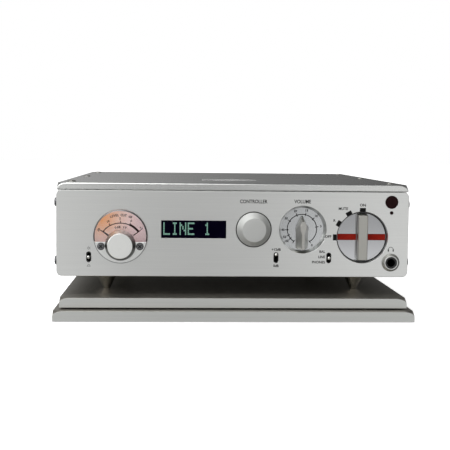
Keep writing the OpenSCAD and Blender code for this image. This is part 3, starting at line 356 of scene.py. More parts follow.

# %% [markdown]
# ## Edges
# The frame's solids have perfectly sharp edges, and real ones never do. A bevel rounds them, and each
# edge can get its own share of the width. The bevel hardens the normals: without that, a smooth shade
# would creep from the round edges over the wide flat faces. A shader could fake the rounding, but a real
# bevel also shows in the outline. A countersink is a bevel of one flat step, and its
# borders are marked sharp so that it stays flat.

# %% Helpers for edges
SHARP = math.radians(25)


def pick_sharp(piece):
    """Selects the edges where two faces meet at a sharp angle."""
    only(piece)
    bpy.ops.object.mode_set(mode="EDIT")
    bpy.ops.mesh.select_mode(type="EDGE")
    bpy.ops.mesh.select_all(action="DESELECT")
    bpy.ops.mesh.edges_select_sharp(sharpness=SHARP)
    bpy.ops.object.mode_set(mode="OBJECT")


def break_edges(piece, width_mm, steps=2, share=None):
    """Rounds the sharp edges as a machinist does, so that they catch the light; the flats stay flat.
    The share of the width that an edge gets can depend on where its ends are."""
    pick_sharp(piece)
    bpy.ops.object.shade_smooth()
    points = piece.data.vertices
    weights = piece.data.attributes.new("bevel_weight_edge", "FLOAT", "EDGE").data
    for edge, weight in zip(piece.data.edges, weights):
        if edge.select:
            weight.value = min(share(points[i].co) for i in edge.vertices) if share else 1.0
    return modify(piece, "BEVEL", width=width_mm * MM, segments=steps, limit_method="WEIGHT",
                  use_clamp_overlap=False, loop_slide=False, harden_normals=True)


def countersink(piece, width_mm, chosen):
    """Cuts a flat chamfer along the sharp edges whose ends are chosen, and keeps its own edges sharp."""
    pick_sharp(piece)
    points = piece.data.vertices
    for edge in piece.data.edges:
        edge.select = edge.select and all(chosen(points[i].co) for i in edge.vertices)
    bpy.ops.object.mode_set(mode="EDIT")
    bpy.ops.mesh.bevel(offset=width_mm * MM, segments=1, affect="EDGES", clamp_overlap=False,
                       loop_slide=False)
    bpy.ops.mesh.mark_sharp()
    bpy.ops.object.mode_set(mode="OBJECT")


print("edges that turn by more than", round(math.degrees(SHARP)), "degrees are broken")

# %% [markdown]
# ## Turned and finished pieces
# A turned piece starts as a disc, and each ring of its outline is one extrusion and one scaling of the
# face at its end. A finished piece gets its material and the body that it rides on, and hides the solid
# it stands for.

# %% Helpers for turned and finished pieces
TURNED_SIDES = 128


def lathe(name, rings, sides=TURNED_SIDES):
    """A turned piece, lying flat. Rings are radius and height in mm, from the back to the front."""
    bpy.ops.object.select_all(action="DESELECT")
    bpy.ops.mesh.primitive_circle_add(vertices=sides, radius=rings[0][0] * MM, fill_type="NGON",
                                      location=(0, 0, rings[0][1] * MM))
    piece = bpy.context.object
    piece.name = name
    bpy.ops.object.transform_apply(location=True)
    bpy.ops.object.mode_set(mode="EDIT")
    bpy.ops.mesh.select_all(action="SELECT")
    for (r_0, z_0), (r_1, z_1) in zip(rings, rings[1:]):
        bpy.ops.mesh.extrude_region_move(TRANSFORM_OT_translate={"value": (0, 0, (z_1 - z_0) * MM)})
        bpy.ops.transform.resize(value=(r_1 / r_0, r_1 / r_0, 1), center_override=(0, 0, z_1 * MM))
    bpy.ops.mesh.select_all(action="SELECT")
    bpy.ops.mesh.normals_make_consistent(inside=False)
    bpy.ops.object.mode_set(mode="OBJECT")
    return piece


def join(name, pieces):
    bpy.ops.object.select_all(action="DESELECT")
    for piece in pieces:
        piece.select_set(True)
    bpy.context.view_layer.objects.active = pieces[0]
    bpy.ops.object.join()
    pieces[0].name = name
    return pieces[0]


def dress(piece, material, body, nodes=()):
    """Gives a finished piece its material, the body it rides on, and the frame nodes it stands for."""
    piece.data.materials.clear()
    piece.data.materials.append(material)
    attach(piece, body)
    for node in nodes:
        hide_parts(node)
    return piece


print("turned pieces have", TURNED_SIDES, "sides")

# %% [markdown]
# ## Plates and housings
# Each visible plate is a copy of its solid. The copy's loose triangles are merged into clean faces, and
# its edges are broken by some tenths of a millimetre, so its outline stays exactly where the frame has
# it.

# %% Helper for machined pieces
SINK_MM = 0.5
# Faces that turn by less than this are merged to one flat face
FLAT = math.radians(0.5)


def machined(node, material, body, edge_mm, steps=2, merge_mm=0.03, share=None, sunk=None):
    """A copy of a solid with broken edges, and with countersinks where sunk chooses them."""
    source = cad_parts[node]
    piece = bpy.data.objects.new(node + "_machined", source.data.copy())
    bpy.context.scene.collection.objects.link(piece)
    only(piece)
    bpy.ops.mesh.customdata_custom_splitnormals_clear()
    bpy.ops.object.mode_set(mode="EDIT")
    bpy.ops.mesh.select_all(action="SELECT")
    bpy.ops.mesh.remove_doubles(threshold=merge_mm * MM)
    bpy.ops.mesh.dissolve_limited(angle_limit=FLAT)
    bpy.ops.mesh.normals_make_consistent(inside=False)
    bpy.ops.object.mode_set(mode="OBJECT")
    if sunk:
        countersink(piece, SINK_MM, sunk)
    break_edges(piece, edge_mm, steps, share)
    return dress(piece, material, body, [node])


print("countersinks are", SINK_MM, "mm wide")

# %% [markdown]
# The outline of the front panel is rounded further than the rims of its openings. Every third row of the
# lid's vents is countersunk, so that its rims catch the light one by one. The places of an edge's ends
# tell which edge it is.

# %% Break the edges of the plates
# The lid's vents stand in rows within a round field behind the panel
VENT_PITCH = 4.6 * MM
VENT_ROW = VENT_PITCH * math.sin(math.radians(60))
VENT_FIELD = 27 * MM
VENT_BACK = 95 * MM
RIM_DEPTH = 0.5 * MM
vent_middle = panel_low.y + VENT_BACK
lid_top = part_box("lid")[1].z
# Shares of the full edge width
VENT_SHARE = 0.7
OPENING_SHARE = 0.55
# How near to the panel's outline an edge belongs to it, along the sides and at the corners
ON_EDGE = 0.05 * MM
PANEL_CORNER = 6 * MM


def panel_share(point):
    """The panel's own outline is rounded in full, and the rims of its openings less."""
    aside = min(point.x - panel_low.x, panel_high.x - point.x)
    upright = min(point.z - panel_low.z, panel_high.z - point.z)
    on_outline = min(aside, upright) < ON_EDGE or max(aside, upright) < PANEL_CORNER
    return 1.0 if on_outline else OPENING_SHARE


def in_vents(point):
    return math.hypot(point.x, point.y - vent_middle) < VENT_FIELD


def vent_rim(point):
    """The upper rims in every third row of vents."""
    row = round((point.y - vent_middle) / VENT_ROW)
    return row % 3 == 1 and in_vents(point) and lid_top - point.z < RIM_DEPTH


def lid_share(point):
    """The countersunk vents have their chamfers already, and the other vents get less than the outline."""
    if vent_rim(point):
        return 0.0
    return VENT_SHARE if in_vents(point) else 1.0


machined("front_panel", panel_metal, "case", 0.4, 3, share=panel_share)
machined("lid", lid_metal, "case", 0.16, 3, share=lid_share, sunk=vent_rim)
machined("upper_plate", base_metal, "case", 0.15)
machined("lower_plate", base_metal, "case", 0.15)
for wall in ("left_side", "right_side", "rear_panel", "bottom_plate"):
    machined(wall, lid_metal, "case", 0.3)

# %% [markdown]
# ## Controls on the front
# The controller is a turned cone with a flat face in a shallow recess. The volume scale and the selector
# lie sunk in the panel, each at the bottom of a conical opening, so that only the pointer and the grip
# stand out. The cone is turned ring by ring. The grip and the pointer come from the frame, and broken
# edges give them the fine bright lines that a cast or milled grip has.

# %% Controller, volume, selector
CONE_FACE_R = 9.5
CONE_EDGE = 0.12
knob_r, knob_foot, knob_top = stack("controller_knob")
cone = lathe("controller_cone", [
    (knob_r - 0.3, knob_foot), (knob_r - 0.3, 0.5), (knob_r - 0.4, 0.9), (knob_r - 0.7, 1.3),
    (CONE_FACE_R, knob_top - 0.3), (CONE_FACE_R - 0.25, knob_top - 0.06), (CONE_FACE_R - 0.6, knob_top),
    (4.5, knob_top), (0.4, knob_top)])
stand_up(break_edges(cone, CONE_EDGE), at_node("controller_knob"))
cone_metal = turned_aluminium("controller_knob", ("#c8c9c7", "#cecfcd"), (0.66, 0.7))
dress(cone, cone_metal, "controller", ["controller_knob"])

dial_metal = turned_aluminium("volume_dial", ("#c9cbcc", "#ced0d1"), (0.18, 0.22), 0.0)
machined("volume_dial", dial_metal, "case", 0.1)
pointer_metal = turned_aluminium("volume_shaft", ("#b2b1ac", "#c0bfba"))
machined("volume_knob", pointer_metal, "volume", 0.2, 3, merge_mm=0.2)
selector = machined("selector_knob", selector_metal, "selector", 0.15, 3, merge_mm=0.08)
# The larger faces lead the shading, so that the disc stays flat beside the blend of the grip
modify(selector, "WEIGHTED_NORMAL", weight=100)
machined("selector_stripe", red_enamel, "selector", 0.05)
dial_r, _, dial_top = stack("volume_dial")
print("controls: cone", round(2 * knob_r, 1), "mm across; scale", round(-dial_top, 1), "mm below the panel")

# %% [markdown]
# ## The level meter
# Behind the lens lies a printed card, with a small lamp's light painted on it: the card glows by itself,
# orange round a spot at the upper left and pale pink further off. A metal mask hides the lower part, and
# a wide turned boss stands over the needles' pivot.

# %% Meter card
meter_x, meter_z = at_node("meter_housing")
pivot_x, pivot_z = at_node("meter_boss")
CARD_OUT = stack("meter_dial")[2]
PAINTED_LAMP_SPOT = (meter_x - 16 * MM, meter_z + 15 * MM)
CARD_FADE = 36 * MM
CARD_FIBRE = 0.4 * MM


def card_with_painted_lamp_light():
    # Painted lamp light: the paper glows by itself, warm round the lamp's spot and fading to pink, with a
    # faint fibre
    made, tree, shader = bare_finish("printed_card_painted_lamp_light", {"Roughness": 0.65, "Emission Strength": 0.3})
    reach = reach_from(tree, *PAINTED_LAMP_SPOT)
    places = add(tree, "TexCoord").outputs["Object"]
    fibre = add(tree, "TexNoise", {"Vector": places, "Scale": 1 / CARD_FIBRE, "Detail": 3.0})
    flecks = add(tree, "MapRange", {"Value": fibre.outputs[0], "To Min": -0.06, "To Max": 0.06})
    share = add(tree, "MapRange", {"Value": reach, "From Max": CARD_FADE})
    mixed = add(tree, "Math", {0: share.outputs[0], 1: flecks.outputs[0]}, operation="ADD")
    ramp = add(tree, "ValToRGB", {0: mixed.outputs[0]})
    ramp.color_ramp.elements[0].color = linear("#f0964a")
    ramp.color_ramp.elements[1].color = linear("#cfb4b6")
    between = ((0.1, "#ee9f5e"), (0.24, "#ebb08a"), (0.42, "#e8c0b0"), (0.6, "#e4c4bf"), (0.8, "#dabdbe"))
    for place, code in between:
        ramp.color_ramp.elements.new(place).color = linear(code)
    for socket in ("Base Color", "Emission Color"):
        tree.links.new(ramp.outputs[0], shader.inputs[socket])
    return made


machined("meter_dial", card_with_painted_lamp_light(), "case", 0.05)
print("meter at", [round(v / MM, 2) for v in (meter_x, meter_z)], "pivot at", round(pivot_z / MM, 2))

# %% [markdown]
# The boss is turned like the controller's cone. Its face is bright; its flank has a painted reflection of
# the darker meter round it, a darker tone, and a painted highlight, lighter, where it looks up.

# %% Lens, mask and boss
machined("meter_lens", lens_acrylic, "case", 0.4, 3)
mask_metal = turned_aluminium("meter_housing", ("#dddedc", "#e9eae8"))
machined("meter_mask", mask_metal, "case", 0.4)
BOSS_FACE_R = 9.9
BOSS_EDGE = 0.1
boss_r, boss_foot, boss_top = stack("meter_boss")
boss = lathe("meter_boss_turned", [
    (boss_r, boss_foot), (boss_r, boss_foot + 0.5), (boss_r - 0.1, boss_foot + 0.8),
    (BOSS_FACE_R, boss_top - 0.5), (BOSS_FACE_R - 0.15, boss_top - 0.15), (BOSS_FACE_R - 0.4, boss_top),
    (5.0, boss_top), (0.4, boss_top)])
stand_up(break_edges(boss, BOSS_EDGE), at_node("meter_boss"))
# Painted reflection and highlight on the flank: darker all round, lighter where it looks up
boss_metal = painted_flank_shade(turned_aluminium("meter_boss", ("#eeefec", "#f6f7f4")), "#5e5e5b", "#f4f4f2")
dress(boss, boss_metal, "case", ["meter_boss"])
print("boss", round(2 * boss_r, 1), "mm across")

# %% [markdown]
# The mask is held by two screws with crossed recesses. Each head is turned, and two thin blocks are cut
# out of it, one for each bar of the cross.

# %% Meter screws
CROSS_W, CROSS_L, CROSS_H = 0.7, 3.4, 1.0
CROSS_TURNS = (45, -45)
low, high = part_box("meter_screws")
head_r = (high.z - low.z) / 2 / MM
_, screw_foot, screw_top = stack("meter_screws")
mask_top = stack("meter_mask")[2]
screw_places = [(x, (low.z + high.z) / 2) for x in (low.x + head_r * MM, high.x - head_r * MM)]
heads = []
for place in screw_places:
    head = lathe("meter_screw_heads", [
        (1.2, screw_foot), (1.2, mask_top), (head_r, mask_top), (head_r, screw_top - 0.4),
        (head_r - 0.15, screw_top - 0.12), (head_r - 0.5, screw_top), (0.3, screw_top)], sides=48)
    for turn in CROSS_TURNS:
        bpy.ops.object.select_all(action="DESELECT")
        bpy.ops.mesh.primitive_cube_add(size=1, location=(0, 0, screw_top * MM),
                                        rotation=(0, 0, math.radians(turn)))
        cutter = bpy.context.object
        cutter.scale = (CROSS_W * MM, CROSS_L * MM, CROSS_H * MM)
        modify(head, "BOOLEAN", operation="DIFFERENCE", object=cutter)
        bpy.data.objects.remove(cutter)
    heads.append(stand_up(head, place))
dress(join("meter_screw_heads", heads), blued_steel, "case", ["meter_screws"])
print("screw heads", round(2 * head_r, 1), "mm across")

# %% [markdown]
# ## Printed marks
# Scales and words are screen printed: a film of ink a few hundredths of a millimetre thick. A bar is a
# plane that is extruded to the thickness of the film. An image could carry the print, but real geometry
# stays crisp from any distance.

# %% Helpers for bars
FILM_MM = 0.03


def lay(piece, place_mm, turn=0.0):
    """Turns a flat mark clockwise about the middle, then moves it to its place, still lying flat."""
    settle(piece)
    piece.rotation_euler = (0, 0, -math.radians(turn))
    piece.location = (place_mm[0] * MM, place_mm[1] * MM, 0)
    return settle(piece)


def thicken(piece):
    only(piece)
    bpy.ops.object.mode_set(mode="EDIT")
    bpy.ops.mesh.select_all(action="SELECT")
    bpy.ops.mesh.normals_make_consistent(inside=False)
    bpy.ops.mesh.extrude_region_move(TRANSFORM_OT_translate={"value": (0, 0, FILM_MM * MM)})
    bpy.ops.mesh.select_all(action="SELECT")
    bpy.ops.mesh.normals_make_consistent(inside=False)
    bpy.ops.object.mode_set(mode="OBJECT")
    return piece


def bar(width_mm, height_mm, place_mm=(0, 0), turn=0.0):
    bpy.ops.object.select_all(action="DESELECT")
    bpy.ops.mesh.primitive_plane_add(size=1)
    piece = bpy.context.object
    piece.scale = (width_mm * MM, height_mm * MM, 1)
    return thicken(lay(piece, place_mm, turn))


def around(radius_mm, turn, centre_mm=(0, 0)):
    """A place on a circle, with the turn in degrees clockwise from straight up."""
    return (centre_mm[0] + radius_mm * math.sin(math.radians(turn)),
            centre_mm[1] + radius_mm * math.cos(math.radians(turn)))


print("film of ink:", FILM_MM, "mm")

# %% [markdown]
# An arc starts as a circle of edges. It is extruded and scaled outwards to a flat ring, and the faces
# outside the wanted angles are deleted. The marks of one scale are joined to one piece and stood up.

# %% Helpers for arcs and printed pieces
RING_SIDES = 360


def arc(inner_mm, outer_mm, start, end, centre_mm=(0, 0), drop_mm=0.0):
    """A ring cut to the part from start to end, in degrees clockwise from straight up.
    Its outer edge can be lower than its inner edge."""
    bpy.ops.object.select_all(action="DESELECT")
    bpy.ops.mesh.primitive_circle_add(vertices=RING_SIDES, radius=inner_mm * MM, fill_type="NOTHING")
    piece = bpy.context.object
    bpy.ops.object.mode_set(mode="EDIT")
    bpy.ops.mesh.select_mode(type="EDGE")
    bpy.ops.mesh.select_all(action="SELECT")
    bpy.ops.mesh.extrude_region_move()
    bpy.ops.transform.resize(value=[outer_mm / inner_mm] * 3, center_override=(0, 0, 0))
    bpy.ops.transform.translate(value=(0, 0, -drop_mm * MM))
    bpy.ops.mesh.select_mode(type="FACE")
    bpy.ops.mesh.select_all(action="DESELECT")
    bpy.ops.object.mode_set(mode="OBJECT")
    for face in piece.data.polygons:
        turn = math.degrees(math.atan2(face.center.x, face.center.y))
        face.select = not start <= turn <= end
    bpy.ops.object.mode_set(mode="EDIT")
    bpy.ops.mesh.delete(type="FACE")
    bpy.ops.object.mode_set(mode="OBJECT")
    return thicken(lay(piece, centre_mm))


def full_ring(inner_mm, outer_mm, centre_mm=(0, 0)):
    return arc(inner_mm, outer_mm, -180, 180, centre_mm)


def printed(name, marks, material, place, out_mm):
    """Joins flat marks to one piece and stands it up, out_mm in front of the panel's face."""
    piece = join(name, marks)
    stand_up(piece, place, out_mm)
    dress(piece, material, "case")
    print(name, "faces:", len(piece.data.polygons))
    return piece


print("a full ring has", RING_SIDES, "sides")

# %% [markdown]
# Words start as text objects and become meshes before they are moved. Ink spreads a little on metal, so
# the letters are made bolder by a small offset. On a curved scale each letter is a word of its own.

# %% Helpers for words
CAP_SHARE = 0.69
INK_SPREAD = 0.08


def word(text, cap_mm, place_mm, turn=0.0, align="CENTER", width_mm=None):
    """A word with capitals cap_mm high, its middle or end at its place, squeezed to width_mm if given."""
    bpy.ops.object.select_all(action="DESELECT")
    bpy.ops.object.text_add()
    piece = bpy.context.object
    piece.data.body = text
    piece.data.align_x = align
    piece.data.align_y = "CENTER"
    piece.data.size = cap_mm / CAP_SHARE * MM
    piece.data.offset = INK_SPREAD * MM
    piece.data.resolution_u = 3
    piece.data.extrude = FILM_MM / 2 * MM
    bpy.ops.object.convert(target="MESH")
    piece = bpy.context.object
    if width_mm:
        piece.scale.x = width_mm * MM / piece.dimensions.x
    piece.location.z = FILM_MM / 2 * MM
    return lay(piece, place_mm, turn)


def curved_word(text, cap_mm, radius_mm, first, step):
    """Letters set one by one along a circle."""
    turns = [first + i * step for i in range(len(text))]
    return [word(letter, cap_mm, around(radius_mm, turn), turn)
            for letter, turn in zip(text, turns) if letter != " "]


print("capitals take", CAP_SHARE, "of the letters' size")

# %% [markdown]
# The meter's scale is an arc about the needles' pivot. Its last part, over the full level, is a thick
# band. It is made of the same bars, arcs and words as the other scales, laid flat about the pivot and
# stood up together.

# %% Print the meter's card
METER_ARC = 17.2
METER_END = 53
FULL_LEVEL = 24
meter_marks = [
    arc(METER_ARC - 0.36, METER_ARC + 0.36, -METER_END, METER_END),
    arc(METER_ARC - 0.6, METER_ARC + 1.1, FULL_LEVEL, METER_END),
]
for turn in (-METER_END, METER_END):
    meter_marks.append(bar(0.75, 7.0, around(METER_ARC - 1.2, turn), turn))
for turn in (-28, 0, FULL_LEVEL):
    meter_marks.append(bar(0.65, 2.2, around(METER_ARC + 0.8, turn), turn))
for turn in (-41, -14, 12):
    meter_marks.append(bar(0.3, 1.0, around(METER_ARC + 0.4, turn), turn))
for text, turn in (("20", -55), ("10", -28), ("5", -1), ("0", 23.5), ("+3", 50)):
    meter_marks.append(word(text, 1.7, around(20.7, turn), turn))
meter_marks += curved_word("LEVEL OUT dB", 1.8, 23.4, -19, 3.6)
meter_marks += curved_word("0dB 1V", 1.7, 14.1, -16, 6.4)
printed("meter_print", meter_marks, dial_ink, (pivot_x, pivot_z), CARD_OUT)

# %% [markdown]
# Thin dark lines of painted shade part one piece from the next. The sloping edge of the lens carries a
# grey coat of painted shade, made like an arc whose outer edge is lower, and the mask's edge gets painted
# shade alike. Ink in the screws' crossed recesses and a ring round each head are painted shade. A thin
# ring in the rubber finish lies in the gap round the controller as painted shadow, and is an arc too.

# %% Painted shade on rims, recesses and the controller's gap
MASK_EDGE = 101
lens_r, _, lens_top = stack("meter_lens")
# Painted shade: grey coats on the lens's sloping edge and on the mask's edge
lens_edge_shade = arc(lens_r - 1.0, lens_r, -MASK_EDGE, MASK_EDGE, drop_mm=1.0)
printed("lens_edge_painted_shade", [lens_edge_shade], blued_steel, (meter_x, meter_z), lens_top + 0.02)
mask_edge_shades = [arc(lens_r - 0.45, lens_r - 0.02, *span) for span in ((MASK_EDGE, 180), (-180, -MASK_EDGE))]
printed("mask_edge_painted_shade", mask_edge_shades, blued_steel, (meter_x, meter_z), mask_top)
# Painted shade: ink in each head's crossed recess and a dark ring round the head
for number, place in enumerate(screw_places):
    cross_shade = [bar(CROSS_W, CROSS_L, turn=turn) for turn in CROSS_TURNS]
    printed("screw_recess_%d" % number, cross_shade, ink, place, screw_top - CROSS_H / 2)
    printed("screw_shade_%d" % number, [full_ring(head_r, head_r + 0.35)], ink, place, mask_top)
# Painted shadow: a dark ring in the gap round the controller, in the rubber finish
gap_shade_ring = full_ring(knob_r - 0.4, knob_r + 0.28)
printed("controller_gap_shade_ring", [gap_shade_ring], rubber, at_node("controller_knob"), -0.15)

# %% [markdown]
# The volume scale runs round the fixed disc, with the marks closer together at the quiet end. A thin
# blued ring of painted shadow parts the disc from the opening that it lies in.

# %% Print the volume scale
VOLUME_RING = 11.7
VOLUME_MARKS = ((-147, ""), (-129, "60"), (-115, "50"), (-93, "40"), (-57, "30"), (-21, "20"), (13, "15"),
                (47, "10"), (81.5, "5"), (148, "0"))
quietest, loudest = VOLUME_MARKS[0][0], VOLUME_MARKS[-1][0]
volume_marks = [arc(VOLUME_RING - 0.33, VOLUME_RING + 0.33, quietest, loudest)]
for turn, text in VOLUME_MARKS:
    volume_marks.append(bar(0.62, 2.7, around(VOLUME_RING + 0.25, turn), turn))
    if text:
        volume_marks.append(word(text, 1.8, around(15.2, turn)))
volume_at = at_node("volume_dial")
printed("volume_scale_print", volume_marks, ink, volume_at, dial_top)
# Painted shadow: a blued ring where the disc meets its opening
dial_gap_shade = full_ring(dial_r - 0.5, dial_r - 0.02)
printed("volume_dial_gap_shade", [dial_gap_shade], blued_steel, volume_at, dial_top)

# %% [markdown]
# Words and small signs on the panel say what each control does. Solid blocks round the selector show its
# four places. The signs are a sun and a half disc for the meter's light, and a headband with two cups at
# the socket. All of them are placed from the panel's middle and from the case's lower edge. A mark that
# shares a middle line with its control takes that line from the frame.

# %% Print the panel
selector_mm = on_panel("selector_knob")
gain_x = on_panel("gain_lever")[0]
lamp_x = on_panel("lamp_lever")[0]
jack_x = on_panel("headphone_jack")[0]
OUTPUT_END = 72.5
panel_marks = [
    word("CONTROLLER", 2.7, (15.3, 59.2), width_mm=21.6),
    word("VOLUME", 2.7, (54.0, 59.4), width_mm=13.2),
    word("ON", 2.1, (selector_mm[0], 57.0)),
    word("MUTE", 2.0, (86.2, 54.1)),
    word("R", 1.9, (79.3, 44.7)),
    word("OFF", 2.0, (74.6, 32.0)),
    word("+12dB", 1.9, (gain_x, 21.5)),
    word("0dB", 1.9, (gain_x, 8.6)),
]
for text, height in (("BAL", 20.0), ("LINE", 15.8), ("PHONES", 11.6)):
    panel_marks.append(word(text, 1.9, (OUTPUT_END, height), align="RIGHT"))
for turn in (0, -30, -60, -90):
    panel_marks.append(bar(4.8, 2.9, around(21.95, turn, selector_mm), turn))

sun_mm = (lamp_x, 22.0)
panel_marks.append(full_ring(0.55, 0.8, sun_mm))
for turn in range(0, 360, 60):
    panel_marks.append(bar(0.22, 0.55, around(1.25, turn, sun_mm), turn))
panel_marks += [arc(0.9, 1.15, -90, 90, (lamp_x, 8.0)), bar(2.9, 0.3, (lamp_x, 7.8))]

panel_marks.append(arc(1.75, 2.1, -90, 90, (jack_x, 22.0)))
for aside in (-1.95, 1.95):
    panel_marks.append(bar(0.9, 1.7, (jack_x + aside, 21.3)))
printed("panel_print", panel_marks, ink, (0, CASE_Z), 0.0)

# %% [markdown]
# ## The display
# The characters are a grid of lit dots, five wide and seven high. One grid covers the whole word: the
# faces that stay dark are deleted, and the others are inset one by one, so that a thin gap parts them.

# %% Shape the display's dots
DOT_ROWS = 7
DOT_W, DOT_H = 1.06, 1.42
DOT_INSET = 0.09
GLYPHS = {
    "L": ("10000", "10000", "10000", "10000", "10000", "10000", "11111"),
    "I": ("01110", "00100", "00100", "00100", "00100", "00100", "01110"),
    "N": ("10001", "11001", "10101", "10101", "10011", "10001", "10001"),
    "E": ("11111", "10000", "10000", "11110", "10000", "10000", "11111"),
    "1": ("00100", "01100", "00100", "00100", "00100", "00100", "01110"),
    " ": ("00000",) * DOT_ROWS,
}
SHOWN = "LINE 1"
rows = ["".join(GLYPHS[letter][row] + "0" for letter in SHOWN) for row in range(DOT_ROWS)]
columns = len(rows[0])
bpy.ops.object.select_all(action="DESELECT")
bpy.ops.mesh.primitive_grid_add(x_subdivisions=columns, y_subdivisions=DOT_ROWS, size=1)
dots = bpy.context.object
dots.scale = (columns * DOT_W * MM, DOT_ROWS * DOT_H * MM, 1)
settle(dots)
bpy.ops.object.mode_set(mode="EDIT")
bpy.ops.mesh.select_mode(type="FACE")
bpy.ops.mesh.select_all(action="DESELECT")
bpy.ops.object.mode_set(mode="OBJECT")
for face in dots.data.polygons:
    column = int(face.center.x / MM / DOT_W + columns / 2)
    row = int(DOT_ROWS / 2 - face.center.y / MM / DOT_H)
    face.select = rows[row][column] == "0"
bpy.ops.object.mode_set(mode="EDIT")
bpy.ops.mesh.delete(type="FACE")
bpy.ops.mesh.select_all(action="SELECT")
bpy.ops.mesh.inset(thickness=DOT_INSET * MM, use_individual=True)
bpy.ops.mesh.select_all(action="INVERT")
bpy.ops.mesh.delete(type="FACE")
bpy.ops.object.mode_set(mode="OBJECT")
thicken(dots)
print("lit dots:", sum(row.count("1") for row in rows))

# %% [markdown]
# The dots glow by themselves behind a dark window. They start a few millimetres from its left edge, a
# little above its middle, and their light is a material with emission and hardly any colour of its own.

# %% Light the display
DOTS_ASIDE = 3.4
DOTS_LIFT = 0.55
GLOW_PATCH = 1.5


def lit_dots():
    # Pale green light, a little uneven from dot to dot
    made, tree, shader = bare_finish("lit_green_dots", {"Roughness": 0.5, "Emission Strength": 0.55,
                                                        "Base Color": linear("#0c1814")})
    places = add(tree, "TexCoord").outputs["Object"]
    patches = add(tree, "TexNoise", {"Vector": places, "Scale": 1 / (GLOW_PATCH * MM)})
    glow = add(tree, "Mix", {0: patches.outputs[0], 6: linear("#6fb79b"), 7: linear("#b4e6d2")},
               data_type="RGBA")
    tree.links.new(glow.outputs[2], shader.inputs["Emission Color"])
    return made


window_low, window_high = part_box("display_window")
dots_x = window_low.x + (DOTS_ASIDE + columns * DOT_W / 2) * MM
dots_z = (window_low.z + window_high.z) / 2 + DOTS_LIFT * MM
printed("display_dots", [dots], lit_dots(), (dots_x, dots_z), stack("display_window")[2])

# %% [markdown]
# ## The headphone socket's ring and the side screws
# A plain conical ring holds the socket. Its broken inner edge catches a thin circle of light round the
# dark bore. The heads of the side screws are rounded much further, into domes.

# %% Break the edges of the ring and the screws
# Painted shade: the ring's cone is darker than its flat front
ring_metal = painted_flank_shade(turned_aluminium("jack_nut", ("#cfd0ce", "#d8d9d7"), (0.42, 0.48)), "#a3a39f")
machined("jack_nut", ring_metal, "case", 0.2, 3)
machined("side_screws", blued_steel, "case", 1.1, 4)
print("ring", round(2 * stack("jack_nut")[0], 1), "mm across")

# %% [markdown]
# ## Pieces that keep their solids
# What needs no softer edge, or sits inside and only shows through the vents, keeps its solid from the
# frame and gets the finish of the real piece.

# %% Dress the frame's own pieces
KEPT = (
    (nickel, "lamp_lever gain_lever output_lever inlet_pins board_standoffs"),
    (satin_nickel, "lid_screws"),
    (dark_nickel, "cone_feet"),
    (black_oxide, "rear_screws"),
    (ground_steel, "controller_shaft volume_shaft selector_shaft"),
    (brass, "controller_sleeve"),
    (gold, "phono_sockets ground_post"),
    (rubber, "isolation_pucks base_pads"),
    (black_abs, "slot_liners toggle_bodies headphone_jack display_module"),
    (black_abs, "balanced_inputs balanced_outputs mains_inlet"),
    (smoked_acrylic, "display_window"),
    (red_acrylic, "remote_window status_led"),
    (dial_ink, "front_needle rear_needle"),
    (grey_enamel, "meter_housing meter_movement encoder_body volume_pot rotary_switch"),
    (solder_mask, "control_board main_board"),
    (white_nylon, "phono_cores"),
    (wound_tape, "transformer"),
    (blue_sleeve, "capacitors"),
    (valve_glass, "valves"),
    (lid_metal, "valve_bracket"),
)
for material, names in KEPT:
    for name in names.split():
        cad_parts[name].data.materials.clear()
        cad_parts[name].data.materials.append(material)
print("kept solids:", sum(len(names.split()) for _, names in KEPT))

# %% [markdown]
# ## Studio
# The object stands on pale paper under soft light. The paper shines a little by itself, more so far
# away, where no lamp reaches, so that it fades into the white behind it. The metal doesn't mirror the
# paper, so that only the lamps and the surroundings set its tone.

# %% Floor
FLOOR_SIZE = 14
FLOOR_GAP = 0.2 * MM
bpy.ops.object.select_all(action="DESELECT")
bpy.ops.mesh.primitive_plane_add(size=FLOOR_SIZE, location=(0, 0, cad_low.z - FLOOR_GAP))
floor = bpy.context.object
floor.name = "studio_floor"
settle(floor)
# Matt white paper, even and without a mirror image
paper = grained("pale_studio_paper", ("#ececec", "#f2f2f2"), (40, 40, 40), (0.85, 0.95), 0.0,
                {"Emission Color": linear("#ffffff")})
roll = paper.node_tree
out = add(roll, "VectorMath", {0: add(roll, "TexCoord").outputs["Object"]}, operation="LENGTH")
shine = add(roll, "MapRange", {"Value": out.outputs["Value"], "From Min": 0.35, "From Max": 1.1,
                               "To Min": 0.76, "To Max": 0.98})
roll.links.new(shine.outputs[0], roll.nodes["Principled BSDF"].inputs["Emission Strength"])
floor.data.materials.append(paper)
floor.visible_glossy = False
print("floor", FLOOR_SIZE, "m wide at z", round((cad_low.z - FLOOR_GAP) / MM, 2), "mm")

# %% [markdown]
# Three soft lamps light the object from above, from the left and from the front. Each is a rectangle
# that points at the middle of the case.

# %% Lights
CENTRE = (0, 0, 0.06)


def softbox(name, place, size, power):
    """A rectangular lamp: its place and size in metres, its power in watts."""
    bpy.ops.object.select_all(action="DESELECT")
    bpy.ops.object.light_add(type="AREA", location=place)
    lamp = bpy.context.object
    lamp.name = name
    lamp.data.shape = "RECTANGLE"
    lamp.data.size, lamp.data.size_y = size
    lamp.data.energy = power
    lamp.rotation_euler = (lamp.location - Vector(CENTRE)).to_track_quat("Z", "Y").to_euler()


softbox("overhead_softbox", (-0.5, -0.42, 1.3), (1.3, 1.15), 14)
softbox("left_softbox", (-1.5, -1.1, 0.7), (0.9, 0.9), 12)
softbox("front_softbox", (0.5, -2.6, 0.8), (2.4, 0.8), 5)

# %% [markdown]
# Metal shows what is around it, so the surroundings matter more than the lamps: two wide pale screens
# stand in front, with a darker gap between them where the camera is, and it is dimmer at the sides and
# behind. A photograph of a studio could do the same, but a few levels by direction are easier to tune.
# The camera itself sees plain white behind the object.

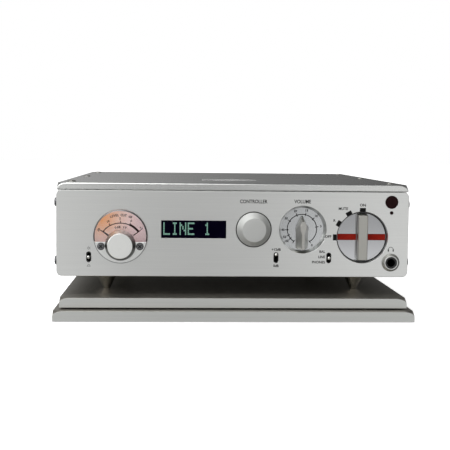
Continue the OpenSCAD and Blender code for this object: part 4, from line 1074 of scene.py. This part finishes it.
# %% Surroundings
world = bpy.data.worlds.new("studio_surroundings")
bpy.context.scene.world = world
world.use_nodes = True
sky = world.node_tree
way = add(sky, "SeparateXYZ", {0: add(sky, "TexCoord").outputs["Generated"]})
# Brightness from side to side and from below to above, for the front half and for the half behind.
# Each pair is a place from -1 to 1 and the level there
SKY = {
    "front_aside": ("X", (
        (-0.98, 0.4), (-0.9, 0.15), (-0.6, 0.6), (-0.22, 1.35), (-0.12, 1.0), (-0.04, 0.16), (0.05, 0.2),
        (0.1, 0.55), (0.16, 1.05), (0.3, 1.08), (0.5, 0.95), (0.75, 0.25), (0.9, 0.2), (0.98, 0.4))),
    "front_upward": ("Z", (
        (-0.98, 0.2), (-0.4, 0.6), (-0.16, 1.15), (-0.115, 1.38), (-0.085, 0.76), (-0.03, 0.66), (0.2, 0.7),
        (0.5, 0.5), (0.98, 0.6))),
    "back_aside": ("X", (
        (-0.98, 0.4), (-0.6, 0.33), (-0.25, 0.4), (-0.12, 0.42), (0.05, 0.2), (0.2, 0.11), (0.34, 0.05),
        (0.55, 0.35), (0.98, 0.4))),
    "back_upward": ("Z", (
        (-0.5, 0.6), (0.0, 1.0), (0.38, 1.0), (0.55, 0.15), (0.8, 0.15), (0.95, 2.0))),
}
light = {}
for name, (axis, stops) in SKY.items():
    share = add(sky, "MapRange", {"Value": way.outputs[axis], "From Min": -1.0})
    ramp = add(sky, "ValToRGB", {0: share.outputs[0]})
    for place, level in stops:
        ramp.color_ramp.elements.new((place + 1) / 2).color = (level, level, level, 1)
    ramp.color_ramp.elements.remove(ramp.color_ramp.elements[0])
    ramp.color_ramp.elements.remove(ramp.color_ramp.elements[-1])
    light[name] = ramp.outputs[0]
front_light = add(sky, "Math", {0: light["front_aside"], 1: light["front_upward"]}, operation="MULTIPLY")
back_light = add(sky, "Math", {0: light["back_aside"], 1: light["back_upward"]}, operation="MULTIPLY")
front = add(sky, "MapRange", {"Value": way.outputs["Y"], "From Min": 0.2, "From Max": -0.5},
            interpolation_type="SMOOTHSTEP")
round_about = add(sky, "Mix", {0: front.outputs[0], 2: back_light.outputs[0], 3: front_light.outputs[0]},
                  data_type="FLOAT")
straight = add(sky, "LightPath").outputs["Is Camera Ray"]
seen = add(sky, "Mix", {0: straight, 2: round_about.outputs[0], 3: 1.0}, data_type="FLOAT")
sky.links.new(seen.outputs[0], sky.nodes["Background"].inputs["Color"])
bpy.context.scene.view_settings.view_transform = "Standard"
print("surroundings:", len(sky.nodes), "nodes")
